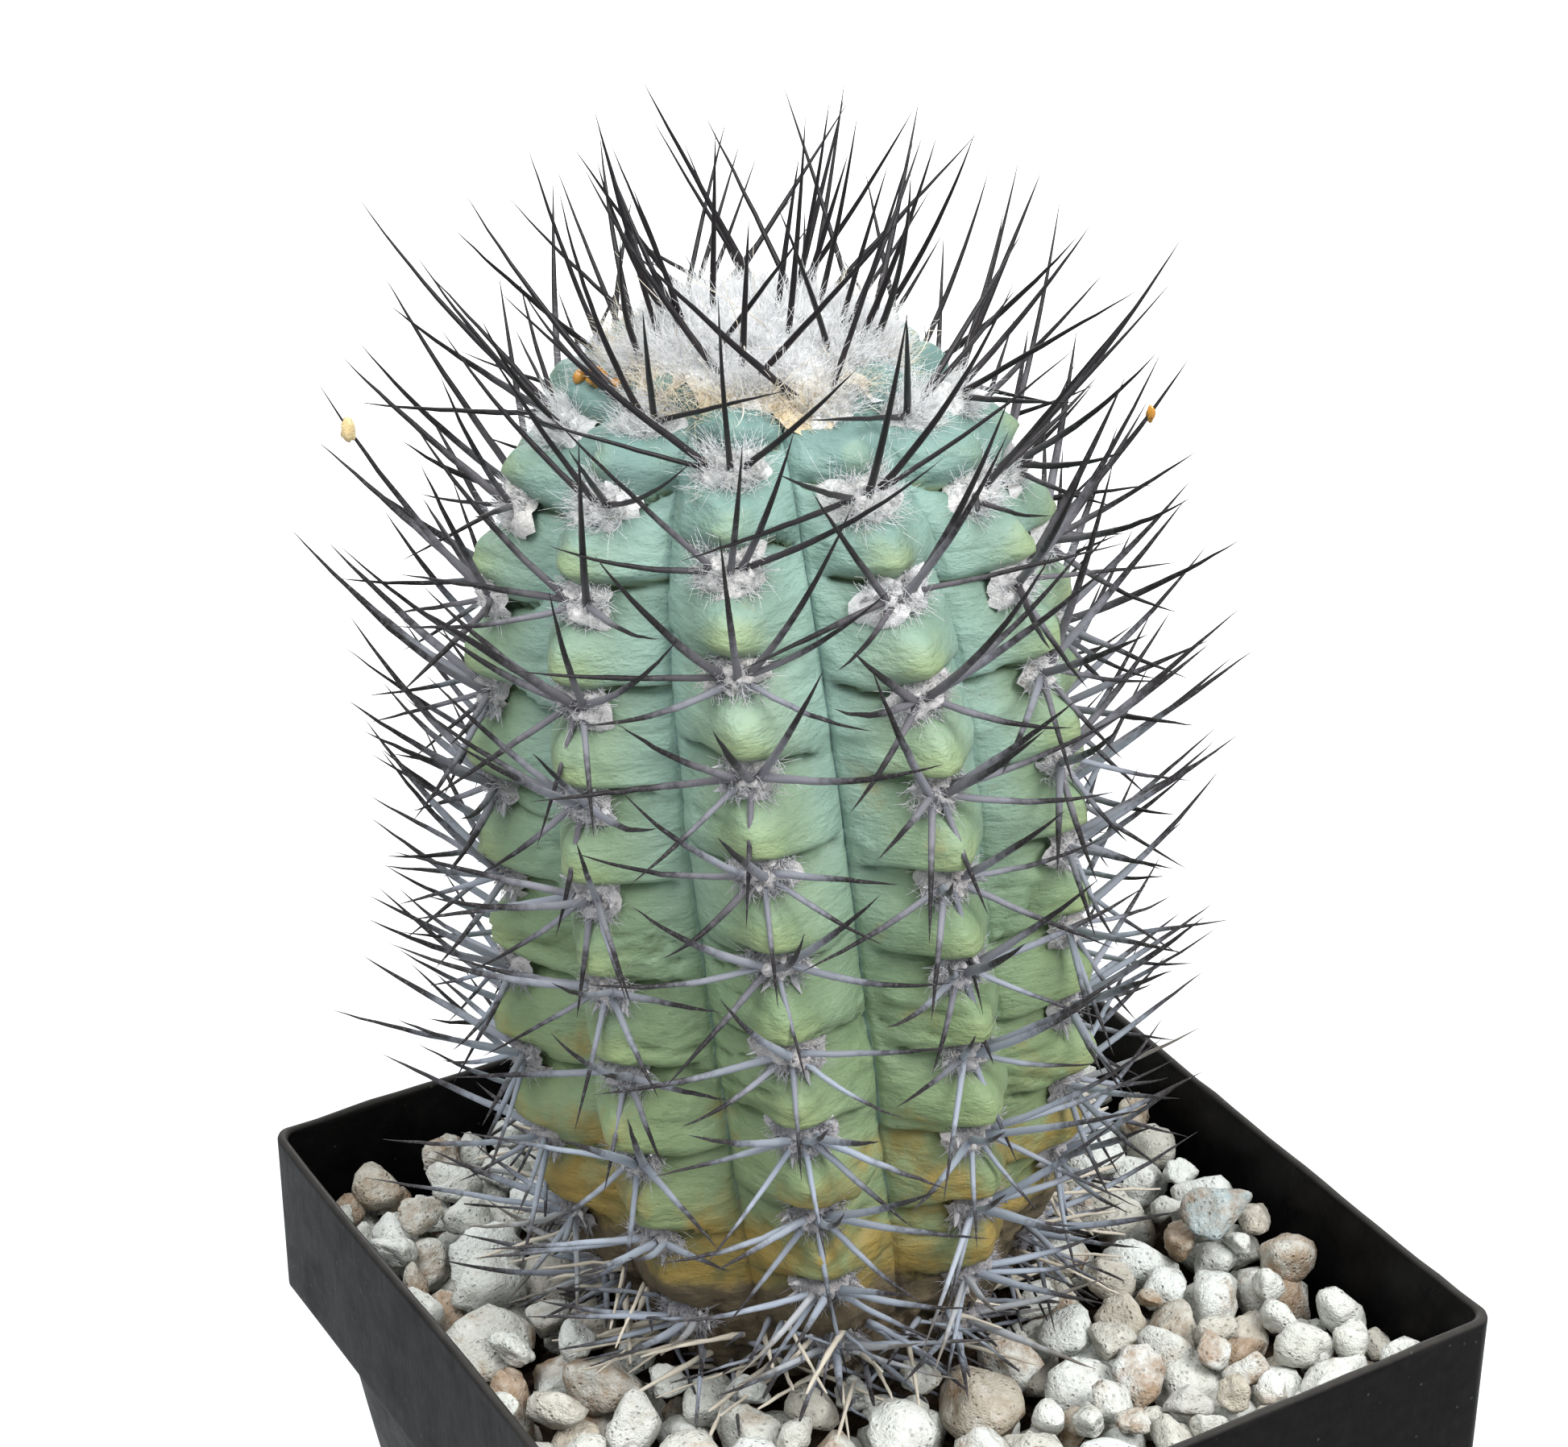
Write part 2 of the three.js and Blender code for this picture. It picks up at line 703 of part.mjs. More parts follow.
const loosePlaces = grainPlaces(0, GRAVEL.grainRadius);
const smallRadius = GRAVEL.grainRadius * GRAVEL.smallShare;
const sunkGrains = grainPlaces(0.5, smallRadius).map((spot, index) => (
  { place: spot, radius: smallRadius, seed: 500 + index }));
loosePlaces.slice(GRAVEL.looseStones).forEach((spot, index) => {
  sunkGrains.push({ place: spot, radius: GRAVEL.grainRadius, seed: 700 + index });
});
place('gravel_bed', buildGravelBed(sunkGrains), FINISH.gravel);
loosePlaces.slice(0, GRAVEL.looseStones).forEach((spot, index) => {
  const stone = settledGrain(spot, GRAVEL.grainRadius, index + 1);
  place(numbered('pumice_stone', index + 1), stone, FINISH.stone);
});

place('stem', buildStem(), FINISH.skin);

const grownSpines = [];
place('crown_spines', buildCrownSpines(0, grownSpines), FINISH.spine);
place('crown_wool', buildCrownWool(), FINISH.wool);
for (let rib = 0; rib < STEM.ribs; rib += 1) {
  place(numbered('spines_rib', rib + 1), buildRibSpines(rib, grownSpines), FINISH.spine);
}

export default pottedCactus;
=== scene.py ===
"""Looks of a potted cactus: a ribbed green column in pumice, in a square nursery pot.

Lengths inside the classes are millimetres; a mesh is brought to metres when it is
built. The pot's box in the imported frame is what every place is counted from.
"""
from __future__ import annotations

import logging
import math
from dataclasses import dataclass, field
from enum import Enum
from functools import cache, cached_property
from typing import Callable, Sequence

import bmesh
import bpy
import numpy as np
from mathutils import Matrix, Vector


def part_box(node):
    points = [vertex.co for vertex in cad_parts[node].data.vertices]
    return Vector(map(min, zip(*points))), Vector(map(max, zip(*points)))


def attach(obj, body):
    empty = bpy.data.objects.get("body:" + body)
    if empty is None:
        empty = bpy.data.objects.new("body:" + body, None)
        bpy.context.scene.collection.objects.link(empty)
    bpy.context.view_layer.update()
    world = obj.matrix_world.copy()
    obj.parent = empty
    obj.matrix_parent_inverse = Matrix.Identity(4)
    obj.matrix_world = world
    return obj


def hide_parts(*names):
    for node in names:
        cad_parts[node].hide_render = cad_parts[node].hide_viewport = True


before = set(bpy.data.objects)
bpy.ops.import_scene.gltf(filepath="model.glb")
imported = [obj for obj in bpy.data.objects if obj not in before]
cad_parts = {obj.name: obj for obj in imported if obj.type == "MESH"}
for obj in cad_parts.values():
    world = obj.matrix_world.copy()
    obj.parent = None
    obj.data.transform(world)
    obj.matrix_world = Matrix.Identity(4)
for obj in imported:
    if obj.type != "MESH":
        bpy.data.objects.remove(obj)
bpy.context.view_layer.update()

log = logging.getLogger("potted_cactus")

MM = 0.001
BODY = "root"
UP = np.array([0.0, 0.0, 1.0])
LEVEL = np.array([1.0, 1.0, 0.0])
FULL_TURN = 2.0 * np.pi
CELL_PRIMES = np.array([73856093, 19349663, 83492791])
SEED_PRIME = 2654435761

Array = np.ndarray
Number = np.ndarray | float
Rng = np.random.Generator
Piece = bpy.types.Object
Material = bpy.types.Material
Tree = bpy.types.NodeTree
Node = bpy.types.Node
Socket = bpy.types.NodeSocket
Sockets = bpy.types.bpy_prop_collection
Pair = tuple[float, float]
Triple = tuple[float, float, float]
Colour = tuple[float, float, float]
Arrays = tuple[Array, Array]
Shell = tuple[Array, list[Array]]
Growth = list[tuple[Array, ...]]
Ramp = tuple[tuple[float, Colour], ...]


# ---- numbers and noise


def smooth(value: Number) -> Array:
    """Eases a value from 0 to 1 with flat ends."""
    held = np.clip(value, 0.0, 1.0)
    return held * held * (3.0 - 2.0 * held)


def lerp(low: Number, high: Number, share: Number) -> Array:
    """Gives the value at a share of the way from low to high."""
    return low + (high - low) * share


def unit(vectors: Array) -> Array:
    """Scales vectors to length one."""
    return vectors / np.maximum(np.linalg.norm(vectors, axis=-1, keepdims=True), 1e-12)


def lattice_noise(points: Array, seed: int) -> Array:
    """Smooth random values from -1 to 1, one for each point.

    Args:
        points: Places in units of the noise's own cell, shaped (n, 3).
        seed: Which of the endless noises to take.

    Returns:
        One value for each point.
    """
    cell = np.floor(points).astype(np.int64)
    part = points - cell
    ease = part * part * part * (part * (part * 6.0 - 15.0) + 10.0)
    total = np.zeros(len(points))
    for corner in range(8):
        step = np.array([corner & 1, corner >> 1 & 1, corner >> 2 & 1])
        spot = cell + step
        mixed = np.bitwise_xor.reduce(spot * CELL_PRIMES, axis=1) ^ seed * SEED_PRIME
        mixed = (mixed ^ mixed >> 13) * 1274126177 & 0xFFFFFFFF
        mixed = (mixed ^ mixed >> 16) & 0xFFFF
        weight = np.prod(np.where(step == 1, ease, 1.0 - ease), axis=1)
        total += weight * (mixed / 32767.5 - 1.0)
    return total


def layered_noise(points: Array, seed: int, layers: int = 3) -> Array:
    """Adds up noises, each twice as fine and half as strong as the one before.

    Args:
        points: Places in units of the coarsest noise's cell.
        seed: Which noises to take.
        layers: How many noises.

    Returns:
        One value for each point.
    """
    total = np.zeros(len(points))
    for layer in range(layers):
        total += lattice_noise(points * 2.0**layer, seed + layer) / 2.0**layer
    return total


# ---- meshes


@dataclass
class Draft:
    """Points, faces and named point values gathered for one piece."""

    points: list[Array] = field(default_factory=list)
    faces: list[Array] = field(default_factory=list)
    masks: dict[str, list[Array]] = field(default_factory=dict)
    count: int = 0

    def add(self, points: Array, faces: Sequence[Array], **masks: Number) -> None:
        """Adds a part.

        Args:
            points: Places in millimetres, shaped (n, 3).
            faces: Arrays of corner numbers, each array with one face size.
            masks: Named values, one number or one for each point.
        """
        self.points.append(points)
        self.faces.extend(np.asarray(part, dtype=np.int64) + self.count for part in faces)
        for name, values in masks.items():
            self.masks.setdefault(name, []).append(np.broadcast_to(values, len(points)))
        self.count += len(points)

    def build(self, name: str, material: Material, slot: str, *replaced: str) -> Piece:
        """Makes the object, dresses it and puts it on the body.

        Args:
            name: The piece's name.
            material: Its finish.
            slot: Not used.
            replaced: The CAD nodes that it stands for.

        Returns:
            The new object.
        """
        points = np.concatenate(self.points) * MM
        loops = np.concatenate([part.ravel() for part in self.faces])
        sizes = np.concatenate([np.full(len(part), part.shape[1]) for part in self.faces])
        mesh = bpy.data.meshes.new(name)
        mesh.vertices.add(len(points))
        mesh.vertices.foreach_set("co", points.ravel())
        mesh.loops.add(len(loops))
        mesh.loops.foreach_set("vertex_index", loops)
        mesh.polygons.add(len(sizes))
        mesh.polygons.foreach_set("loop_start", np.concatenate([[0], np.cumsum(sizes)[:-1]]))
        mesh.polygons.foreach_set("use_smooth", np.ones(len(sizes), dtype=bool))
        mesh.update(calc_edges=True)
        for mask, parts in self.masks.items():
            values = mesh.attributes.new(mask, "FLOAT", "POINT")
            values.data.foreach_set("value", np.concatenate(parts).astype(np.float32))
        mesh.validate()
        piece = new_object(name, mesh)
        mesh.materials.append(material)
        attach(piece, BODY)
        if replaced:
            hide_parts(*replaced)
        log.info("%s: %d points, %d faces", name, len(mesh.vertices), len(mesh.polygons))
        return piece


def new_object(name: str, data: bpy.types.ID) -> Piece:
    """Makes an object and puts it in the scene.

    Args:
        name: Its name.
        data: Its mesh, lamp or camera.

    Returns:
        The object.
    """
    made = bpy.data.objects.new(name, data)
    bpy.context.scene.collection.objects.link(made)
    return made


def polar_grid(levels: Array, spokes: int) -> Arrays:
    """Lays out rings of points, ring after ring.

    Args:
        levels: One value for each ring.
        spokes: Points in a ring.

    Returns:
        Each point's level and its angle.
    """
    turn = np.linspace(0.0, FULL_TURN, spokes, endpoint=False)
    level, angle = np.meshgrid(levels, turn, indexing="ij")
    return level.ravel(), angle.ravel()


def grid_faces(rows: int, columns: int) -> Array:
    """Quads between rings of points that close on themselves.

    Args:
        rows: Number of rings.
        columns: Points in a ring.

    Returns:
        Corner numbers, four for each face.
    """
    row, column = np.meshgrid(np.arange(rows - 1), np.arange(columns), indexing="ij")
    here = row * columns + column
    beside = row * columns + (column + 1) % columns
    return np.stack([here, beside, beside + columns, here + columns], axis=-1).reshape(-1, 4)


def fan_faces(hub: int, ring: Array, turned: bool) -> Array:
    """Triangles from one point to the points of a closed ring.

    Args:
        hub: Number of the one point.
        ring: Numbers of the ring's points.
        turned: Whether the triangles face the other way.

    Returns:
        Corner numbers, three for each face.
    """
    following = np.roll(ring, -1)
    ends = (following, ring) if turned else (ring, following)
    return np.stack([np.full(len(ring), hub), *ends], axis=-1)


def shell_faces(rows: int, columns: int, flipped: bool = False) -> list[Array]:
    """Faces of a closed shell: rings of points, then the first and the last ring's hub.

    Args:
        rows: Number of rings.
        columns: Points in a ring.
        flipped: Whether the rings run from the top down.

    Returns:
        Arrays of corner numbers.
    """
    total = rows * columns
    sides = grid_faces(rows, columns)
    return [
        sides[:, ::-1] if flipped else sides,
        fan_faces(total, np.arange(columns), not flipped),
        fan_faces(total + 1, np.arange(total - columns, total), flipped),
    ]


@dataclass
class Hairs:
    """A batch of tapering rods: spines, fibres or broken bits, all of one kind."""

    starts: Array
    aims: Array
    lengths: Array
    radii: Array
    bends: Array
    sides: int
    steps: int
    taper: Callable[[Array], Array]

    def shape(self) -> tuple[Array, list[Array], Array]:
        """Sweeps every rod along its own bent line.

        Returns:
            Points, faces and each point's share of the way to the tip.
        """
        share = np.linspace(0.0, 1.0, self.steps + 1)[None, :, None]
        reach = (self.aims * self.lengths[:, None])[:, None, :]
        bend = self.bends[:, None, :]
        middle = self.starts[:, None, :] + reach * share + bend * share**2
        along = unit(reach + 2.0 * bend * share)
        upright = np.abs(self.aims[:, 2:]) >= 0.8
        helper = np.where(upright, [[1.0, 0.0, 0.0]], [UP])[:, None, :]
        across = unit(np.cross(along, helper))
        over = np.cross(along, across)
        angle = np.linspace(0.0, FULL_TURN, self.sides, endpoint=False)[None, None, :, None]
        radius = self.radii[:, None, None, None] * self.taper(share)[..., None]
        ring = across[:, :, None, :] * np.cos(angle) + over[:, :, None, :] * np.sin(angle)
        points = middle[:, :, None, :] + ring * radius
        count = len(self.starts)
        each = (self.steps + 1) * self.sides
        offset = (np.arange(count) * each)[:, None, None]
        quads = grid_faces(self.steps + 1, self.sides)[None] + offset
        foot = np.arange(self.sides)[None, None, ::-1] + offset
        tip = np.arange(each - self.sides, each)[None, None, :] + offset
        every = (count, self.steps + 1, self.sides, 1)
        shares = np.broadcast_to(share[..., None], every).reshape(-1)
        faces = [quads.reshape(-1, 4), foot.reshape(-1, self.sides), tip.reshape(-1, self.sides)]
        return points.reshape(-1, 3), faces, shares

    def per_point(self, values: Array) -> Array:
        """Repeats one value of each rod for all its points."""
        return np.repeat(values, (self.steps + 1) * self.sides)


# ---- shader graphs


class Sum(Enum):
    """Sums that the values of a surface go through."""

    PLUS = "ADD"
    MINUS = "SUBTRACT"
    TIMES = "MULTIPLY"
    OVER = "DIVIDE"
    TIMES_PLUS = "MULTIPLY_ADD"
    LARGER = "MAXIMUM"


class Effect(Enum):
    """Shader effects that several finishes share."""

    MOTTLE = "mottle"
    GRAIN = "grain"
    DUST = "dust"
    SPECKS = "specks"


class Graph:
    """Builds nodes in one node tree and joins them."""

    def __init__(self, tree: Tree) -> None:
        """Keeps the tree to build in."""
        self.tree = tree

    def put(self, socket: Socket, value: object) -> None:
        """Joins a socket to another one, or sets its own value.

        Args:
            socket: The input.
            value: The output to join it to, or its own number or colour.
        """
        if isinstance(value, Socket):
            self.tree.links.new(value, socket)
        elif isinstance(value, tuple) and socket.type == "RGBA":
            socket.default_value = (*value, 1.0)
        else:
            socket.default_value = value

    def feed(self, node: Node, **inputs: object) -> Node:
        """Gives a node its inputs.

        Args:
            node: The node.
            inputs: Values or sockets for its inputs; _ stands for a space.

        Returns:
            The same node.
        """
        for name, value in inputs.items():
            self.put(node.inputs[name.replace("_", " ")], value)
        return node

    def add(self, kind: str, settings: dict[str, object] | None = None, **inputs: object) -> Node:
        """Adds a node.

        Args:
            kind: The node's type.
            settings: Its own properties.
            inputs: Values or sockets for its inputs; _ stands for a space.

        Returns:
            The node.
        """
        node = self.tree.nodes.new(kind)
        for name, value in (settings or {}).items():
            setattr(node, name, value)
        return self.feed(node, **inputs)

    def places(self) -> Socket:
        """Object coordinates, in metres."""
        return self.add("ShaderNodeTexCoord").outputs["Object"]

    def mask(self, name: str) -> Socket:
        """A named value of the mesh's points."""
        return self.add("ShaderNodeAttribute", {"attribute_name": name}).outputs["Fac"]

    def noise(
        self, scale: object, detail: float, roughness: float, places: Socket | None = None
    ) -> Socket:
        """Cloudy noise from 0 to 1.

        Args:
            scale: Cells in a metre.
            detail: Number of finer layers.
            roughness: Strength of the finer layers.
            places: Where to take it; the object coordinates if nothing is given.

        Returns:
            The noise.
        """
        spots = self.places() if places is None else places
        values = {"Scale": scale, "Detail": detail, "Roughness": roughness, "Vector": spots}
        return self.add("ShaderNodeTexNoise", None, **values).outputs["Fac"]

    def maths(self, kind: Sum, first: object, second: object, third: object = 0.0) -> Socket:
        """Works out one sum.

        Args:
            kind: Which sum.
            first: Its first value.
            second: Its second value.
            third: What is added at the end, where the sum has that.

        Returns:
            The result.
        """
        node = self.add("ShaderNodeMath", {"operation": kind.value})
        for socket, value in zip(node.inputs, (first, second, third)):
            self.put(socket, value)
        return node.outputs[0]

    def remap(
        self, value: object, low: float, high: float, to_low: float = 0.0, to_high: float = 1.0
    ) -> Socket:
        """Stretches a range of a value to another, eased at both ends.

        Args:
            value: The value.
            low: Where its range starts.
            high: Where its range ends.
            to_low: What the start becomes.
            to_high: What the end becomes.

        Returns:
            The stretched value.
        """
        ends = {"From_Min": low, "From_Max": high, "To_Min": to_low, "To_Max": to_high}
        eased = {"interpolation_type": "SMOOTHSTEP"}
        return self.add("ShaderNodeMapRange", eased, Value=value, **ends).outputs["Result"]

    def held(self, value: Socket) -> Socket:
        """Keeps a value from 0 to 1."""
        return self.add("ShaderNodeClamp", None, Value=value).outputs[0]

    def blend(self, first: object, second: object, share: object) -> Socket:
        """Mixes two colours.

        Args:
            first: The colour at no share.
            second: The colour at full share.
            share: How much of the second.

        Returns:
            The mixed colour.
        """
        node = self.add("ShaderNodeMix", {"data_type": "RGBA"})
        for index, value in ((0, share), (6, first), (7, second)):
            self.put(node.inputs[index], value)
        return node.outputs[2]

    def ramp(self, value: object, stops: Ramp) -> Socket:
        """Colours along a value.

        Args:
            value: The value.
            stops: Places from 0 to 1 and their colours.

        Returns:
            The colour.
        """
        node = self.add("ShaderNodeValToRGB", None, Fac=value)
        elements = node.color_ramp.elements
        while len(elements) < len(stops):
            elements.new(1.0)
        for element, (place, colour) in zip(elements, stops):
            element.position = place
            element.color = (*colour, 1.0)
        return node.outputs["Color"]

    def effect(self, effect: Effect, **inputs: object) -> Sockets:
        """Places a shared effect.

        Args:
            effect: Which effect.
            inputs: Its values here; _ stands for a space.

        Returns:
            Its outputs.
        """
        return self.add("ShaderNodeGroup", {"node_tree": effect_tree(effect)}, **inputs).outputs


SOCKETS: dict[Effect, tuple[tuple[str, ...], tuple[str, ...]]] = {
    Effect.MOTTLE: (("Color", "Second Color", "Scale", "Cover", "Sharpness"), ("Color", "Mask")),
    Effect.GRAIN: (("Scale", "Stretch", "Strength"), ("Height",)),
    Effect.DUST: (("Color", "Dust Color", "Scale", "Amount"), ("Color", "Mask")),
    Effect.SPECKS: (("Scale", "Size", "Strength"), ("Mask",)),
}


class EffectGraph(Graph):
    """A shared effect's node group, filled between its named inputs and outputs."""

    def __init__(self, effect: Effect) -> None:
        """Makes the group's sockets, named for what they carry, and fills the group.

        Args:
            effect: Which effect.
        """
        super().__init__(bpy.data.node_groups.new(effect.value, "ShaderNodeTree"))
        for side, names in zip(("INPUT", "OUTPUT"), SOCKETS[effect]):
            for name in names:
                kind = "NodeSocketColor" if name.endswith("Color") else "NodeSocketFloat"
                self.tree.interface.new_socket(name, in_out=side, socket_type=kind)
        self.entry = self.tree.nodes.new("NodeGroupInput").outputs
        self.leave = self.tree.nodes.new("NodeGroupOutput").inputs
        getattr(self, effect.value)()

    def mottle(self) -> None:
        """Patches of a second colour with soft, broken edges."""
        entry, leave = self.entry, self.leave
        cloud = self.noise(entry["Scale"], 5.0, 0.62)
        rise = self.maths(Sum.MINUS, cloud, self.maths(Sum.MINUS, 1.0, entry["Cover"]))
        mask = self.held(self.maths(Sum.OVER, rise, entry["Sharpness"]))
        self.put(leave["Color"], self.blend(entry["Color"], entry["Second Color"], mask))
        self.put(leave["Mask"], mask)

    def grain(self) -> None:
        """Fine relief, drawn out along Z by the stretch."""
        scale = self.entry["Scale"]
        squash = self.add("ShaderNodeCombineXYZ", None, X=1.0, Y=1.0, Z=self.entry["Stretch"])
        scaled = self.add("ShaderNodeVectorMath", {"operation": "MULTIPLY"})
        self.put(scaled.inputs[0], self.places())
        self.put(scaled.inputs[1], squash.outputs[0])
        coarse = self.noise(scale, 4.0, 0.6, scaled.outputs[0])
        fine = self.noise(self.maths(Sum.TIMES, scale, 4.3), 2.0, 0.6, scaled.outputs[0])
        height = self.maths(Sum.TIMES_PLUS, fine, 0.35, coarse)
        self.put(self.leave["Height"], self.maths(Sum.TIMES, height, self.entry["Strength"]))

    def dust(self) -> None:
        """Pale dust that lies thickest on what faces up."""
        entry, leave = self.entry, self.leave
        normal = self.add("ShaderNodeNewGeometry").outputs["Normal"]
        upward = self.add("ShaderNodeSeparateXYZ", None, Vector=normal).outputs["Z"]
        lying = self.remap(upward, -0.4, 1.0, 0.25, 1.0)
        cloud = self.remap(self.noise(entry["Scale"], 5.0, 0.65), 0.35, 0.75)
        mask = self.maths(Sum.TIMES, self.maths(Sum.TIMES, lying, cloud), entry["Amount"])
        self.put(leave["Color"], self.blend(entry["Color"], entry["Dust Color"], mask))
        self.put(leave["Mask"], mask)

    def specks(self) -> None:
        """Small scattered round spots."""
        entry = self.entry
        places = self.places()
        cells = self.add("ShaderNodeTexVoronoi", None, Scale=entry["Scale"], Vector=places).outputs
        inside = self.maths(Sum.MINUS, entry["Size"], cells["Distance"])
        spots = self.held(self.maths(Sum.OVER, inside, entry["Size"]))
        picked = self.add("ShaderNodeSeparateColor", None, Color=cells["Color"]).outputs[0]
        some = self.maths(Sum.TIMES, spots, self.remap(picked, 0.45, 0.55))
        self.put(self.leave["Mask"], self.maths(Sum.TIMES, some, entry["Strength"]))


@cache
def effect_tree(effect: Effect) -> Tree:
    """A shared effect's node group, built the first time it is asked for."""
    return EffectGraph(effect).tree


class Surface(Graph):
    """A new material, with the graph that feeds its surface shader."""

    def __init__(self, name: str, **values: object) -> None:
        """Makes the material.

        Args:
            name: Its name.
            values: The shader's values that are the same all over; _ stands for a space.
        """
        self.material = bpy.data.materials.new(name)
        self.material.use_nodes = True
        super().__init__(self.material.node_tree)
        self.shader = self.tree.nodes["Principled BSDF"]
        self.feed(self.shader, **values)

    def dress(self, colour: Socket, roughness: Socket, height: Socket, depth: float) -> None:
        """Gives the surface its changing looks.

        Args:
            colour: Its colour.
            roughness: Its roughness.
            height: A height map that raises it.
            depth: The map's full height, in millimetres.
        """
        bump = self.add("ShaderNodeBump", None, Distance=depth * MM, Height=height)
        normal = bump.outputs["Normal"]
        self.feed(self.shader, Base_Color=colour, Roughness=roughness, Normal=normal)

    def mottle(self, first: object, second: object, **values: float) -> Sockets:
        """Places the shared patches.

        Args:
            first: The colour between them.
            second: Their colour.
            values: Their scale, cover and sharpness.

        Returns:
            The effect's outputs.
        """
        return self.effect(Effect.MOTTLE, Color=first, Second_Color=second, **values)

    def grain(self, scale: float, stretch: float = 1.0, strength: float = 1.0) -> Socket:
        """Places the shared grain.

        Args:
            scale: Cells in a metre.
            stretch: How much finer it is along Z.
            strength: How strong it is.

        Returns:
            Its height map.
        """
        values = {"Scale": scale, "Stretch": stretch, "Strength": strength}
        return self.effect(Effect.GRAIN, **values)["Height"]


@dataclass(frozen=True)
class Finish:
    """A material: its name and its shine. Each kind of finish paints it in its own way."""

    name: str
    specular: float

    def paint(self, graph: Surface) -> None:
        """Paints the surface in the finish's own way."""
        raise NotImplementedError

    def make(self) -> Material:
        """Builds the material.

        Returns:
            The material, ready to put on pieces.
        """
        graph = Surface(self.name, Specular_IOR_Level=self.specular)
        self.paint(graph)
        return graph.material


@dataclass(frozen=True)
class SkinFinish(Finish):
    """Waxy plant skin: bluish at the top, sage below, ochre and corky at the foot."""

    name: str = "cactus_skin"
    specular: float = 0.35
    chin: Colour = (0.28, 0.345, 0.155)
    # colour of the painted shade along the bottom of each furrow
    furrow: Colour = (0.12, 0.22, 0.2)
    # colour of the painted shade in the creases and wrinkle folds
    crease: Colour = (0.12, 0.17, 0.07)
    valley: Colour = (0.27, 0.41, 0.36)
    bloom: Colour = (0.37, 0.475, 0.385)
    shade: Colour = (0.1, 0.17, 0.09)
    ochre: Colour = (0.33, 0.22, 0.05)
    olive: Colour = (0.15, 0.135, 0.05)
    cork: Colour = (0.13, 0.1, 0.06)
    cork_dark: Colour = (0.04, 0.03, 0.02)
    heights: Ramp = (
        (0.0, (0.13, 0.14, 0.065)),
        (0.14, (0.19, 0.23, 0.11)),
        (0.32, (0.215, 0.29, 0.14)),
        (0.5, (0.18, 0.258, 0.138)),
        (0.72, (0.23, 0.325, 0.21)),
        (0.88, (0.165, 0.262, 0.22)),
        (1.0, (0.12, 0.215, 0.21)),
    )

    def paint(self, graph: Surface) -> None:
        """Paints the green skin, then its ochre and its cork.

        Args:
            graph: The material to paint.
        """
        colour = self.green(graph)
        patches = graph.noise(125.0, 5.0, 0.6)
        old = graph.maths(Sum.TIMES, graph.mask("ochre"), 0.75)
        old = graph.maths(Sum.TIMES_PLUS, patches, 1.9, old)
        tanned = graph.mottle(self.ochre, self.olive, Scale=260.0, Cover=0.52, Sharpness=0.25)
        colour = graph.blend(colour, tanned["Color"], graph.remap(old, 1.16, 1.68, 0.0, 0.9))
        bark = graph.mottle(self.cork, self.cork_dark, Scale=420.0, Cover=0.5, Sharpness=0.2)
        frayed = graph.noise(160.0, 4.0, 0.6)
        frayed = graph.maths(Sum.TIMES_PLUS, frayed, 0.8, graph.mask("cork"))
        corked = graph.remap(frayed, 0.78, 1.02)
        colour = graph.blend(colour, bark["Color"], corked)
        pores = graph.effect(Effect.SPECKS, Scale=1500.0, Size=0.3, Strength=-0.1)["Mask"]
        rough = graph.maths(Sum.PLUS, graph.grain(900.0, 2.2, 0.3), pores)
        height = graph.maths(Sum.PLUS, rough, graph.grain(110.0, 2.3, 1.1))
        graph.dress(colour, graph.remap(corked, 0.0, 1.0, 0.5, 0.9), height, 0.6)

    def green(self, graph: Surface) -> Socket:
        """Builds the skin's greens, with its bloom and chins, and painted shade in its creases,
        wrinkle folds and furrow bottoms.

        Args:
            graph: The material to paint.

        Returns:
            The colour.
        """
        height = graph.mask("height")
        colour = graph.ramp(height, self.heights)
        bloom = graph.mottle(colour, self.bloom, Scale=75.0, Cover=0.52, Sharpness=0.35)
        shaded_top = graph.remap(height, 0.74, 0.97, 1.0, 0.25)
        bloomed = graph.maths(Sum.TIMES, shaded_top, graph.remap(height, 0.1, 0.8, 0.1, 0.4))
        colour = graph.blend(colour, self.bloom, graph.maths(Sum.TIMES, bloom["Mask"], bloomed))
        paling = graph.maths(Sum.TIMES, shaded_top, graph.remap(height, 0.4, 0.75, 0.05, 0.8))
        sunk = graph.maths(Sum.TIMES, graph.mask("valley"), paling)
        colour = graph.blend(colour, self.valley, sunk)
        shaded = graph.remap(graph.noise(260.0, 5.0, 0.65), 0.5, 0.85, 0.0, 0.45)
        colour = graph.blend(colour, self.shade, shaded)
        blotch = graph.noise(330.0, 4.0, 0.6)
        chin = graph.maths(Sum.TIMES_PLUS, blotch, 0.9, graph.mask("chin"))
        colour = graph.blend(colour, self.chin, graph.remap(chin, 0.5, 1.45, 0.0, 0.65))
        # painted shade: darker green along the creases under the chins and in the wrinkle folds
        crease_shade = graph.remap(graph.mask("crease"), 0.12, 0.9, 0.0, 0.85)
        colour = graph.blend(colour, self.crease, crease_shade)
        # painted shade: a dark line along the bottom of each furrow
        return graph.blend(colour, self.furrow, graph.mask("furrow"))


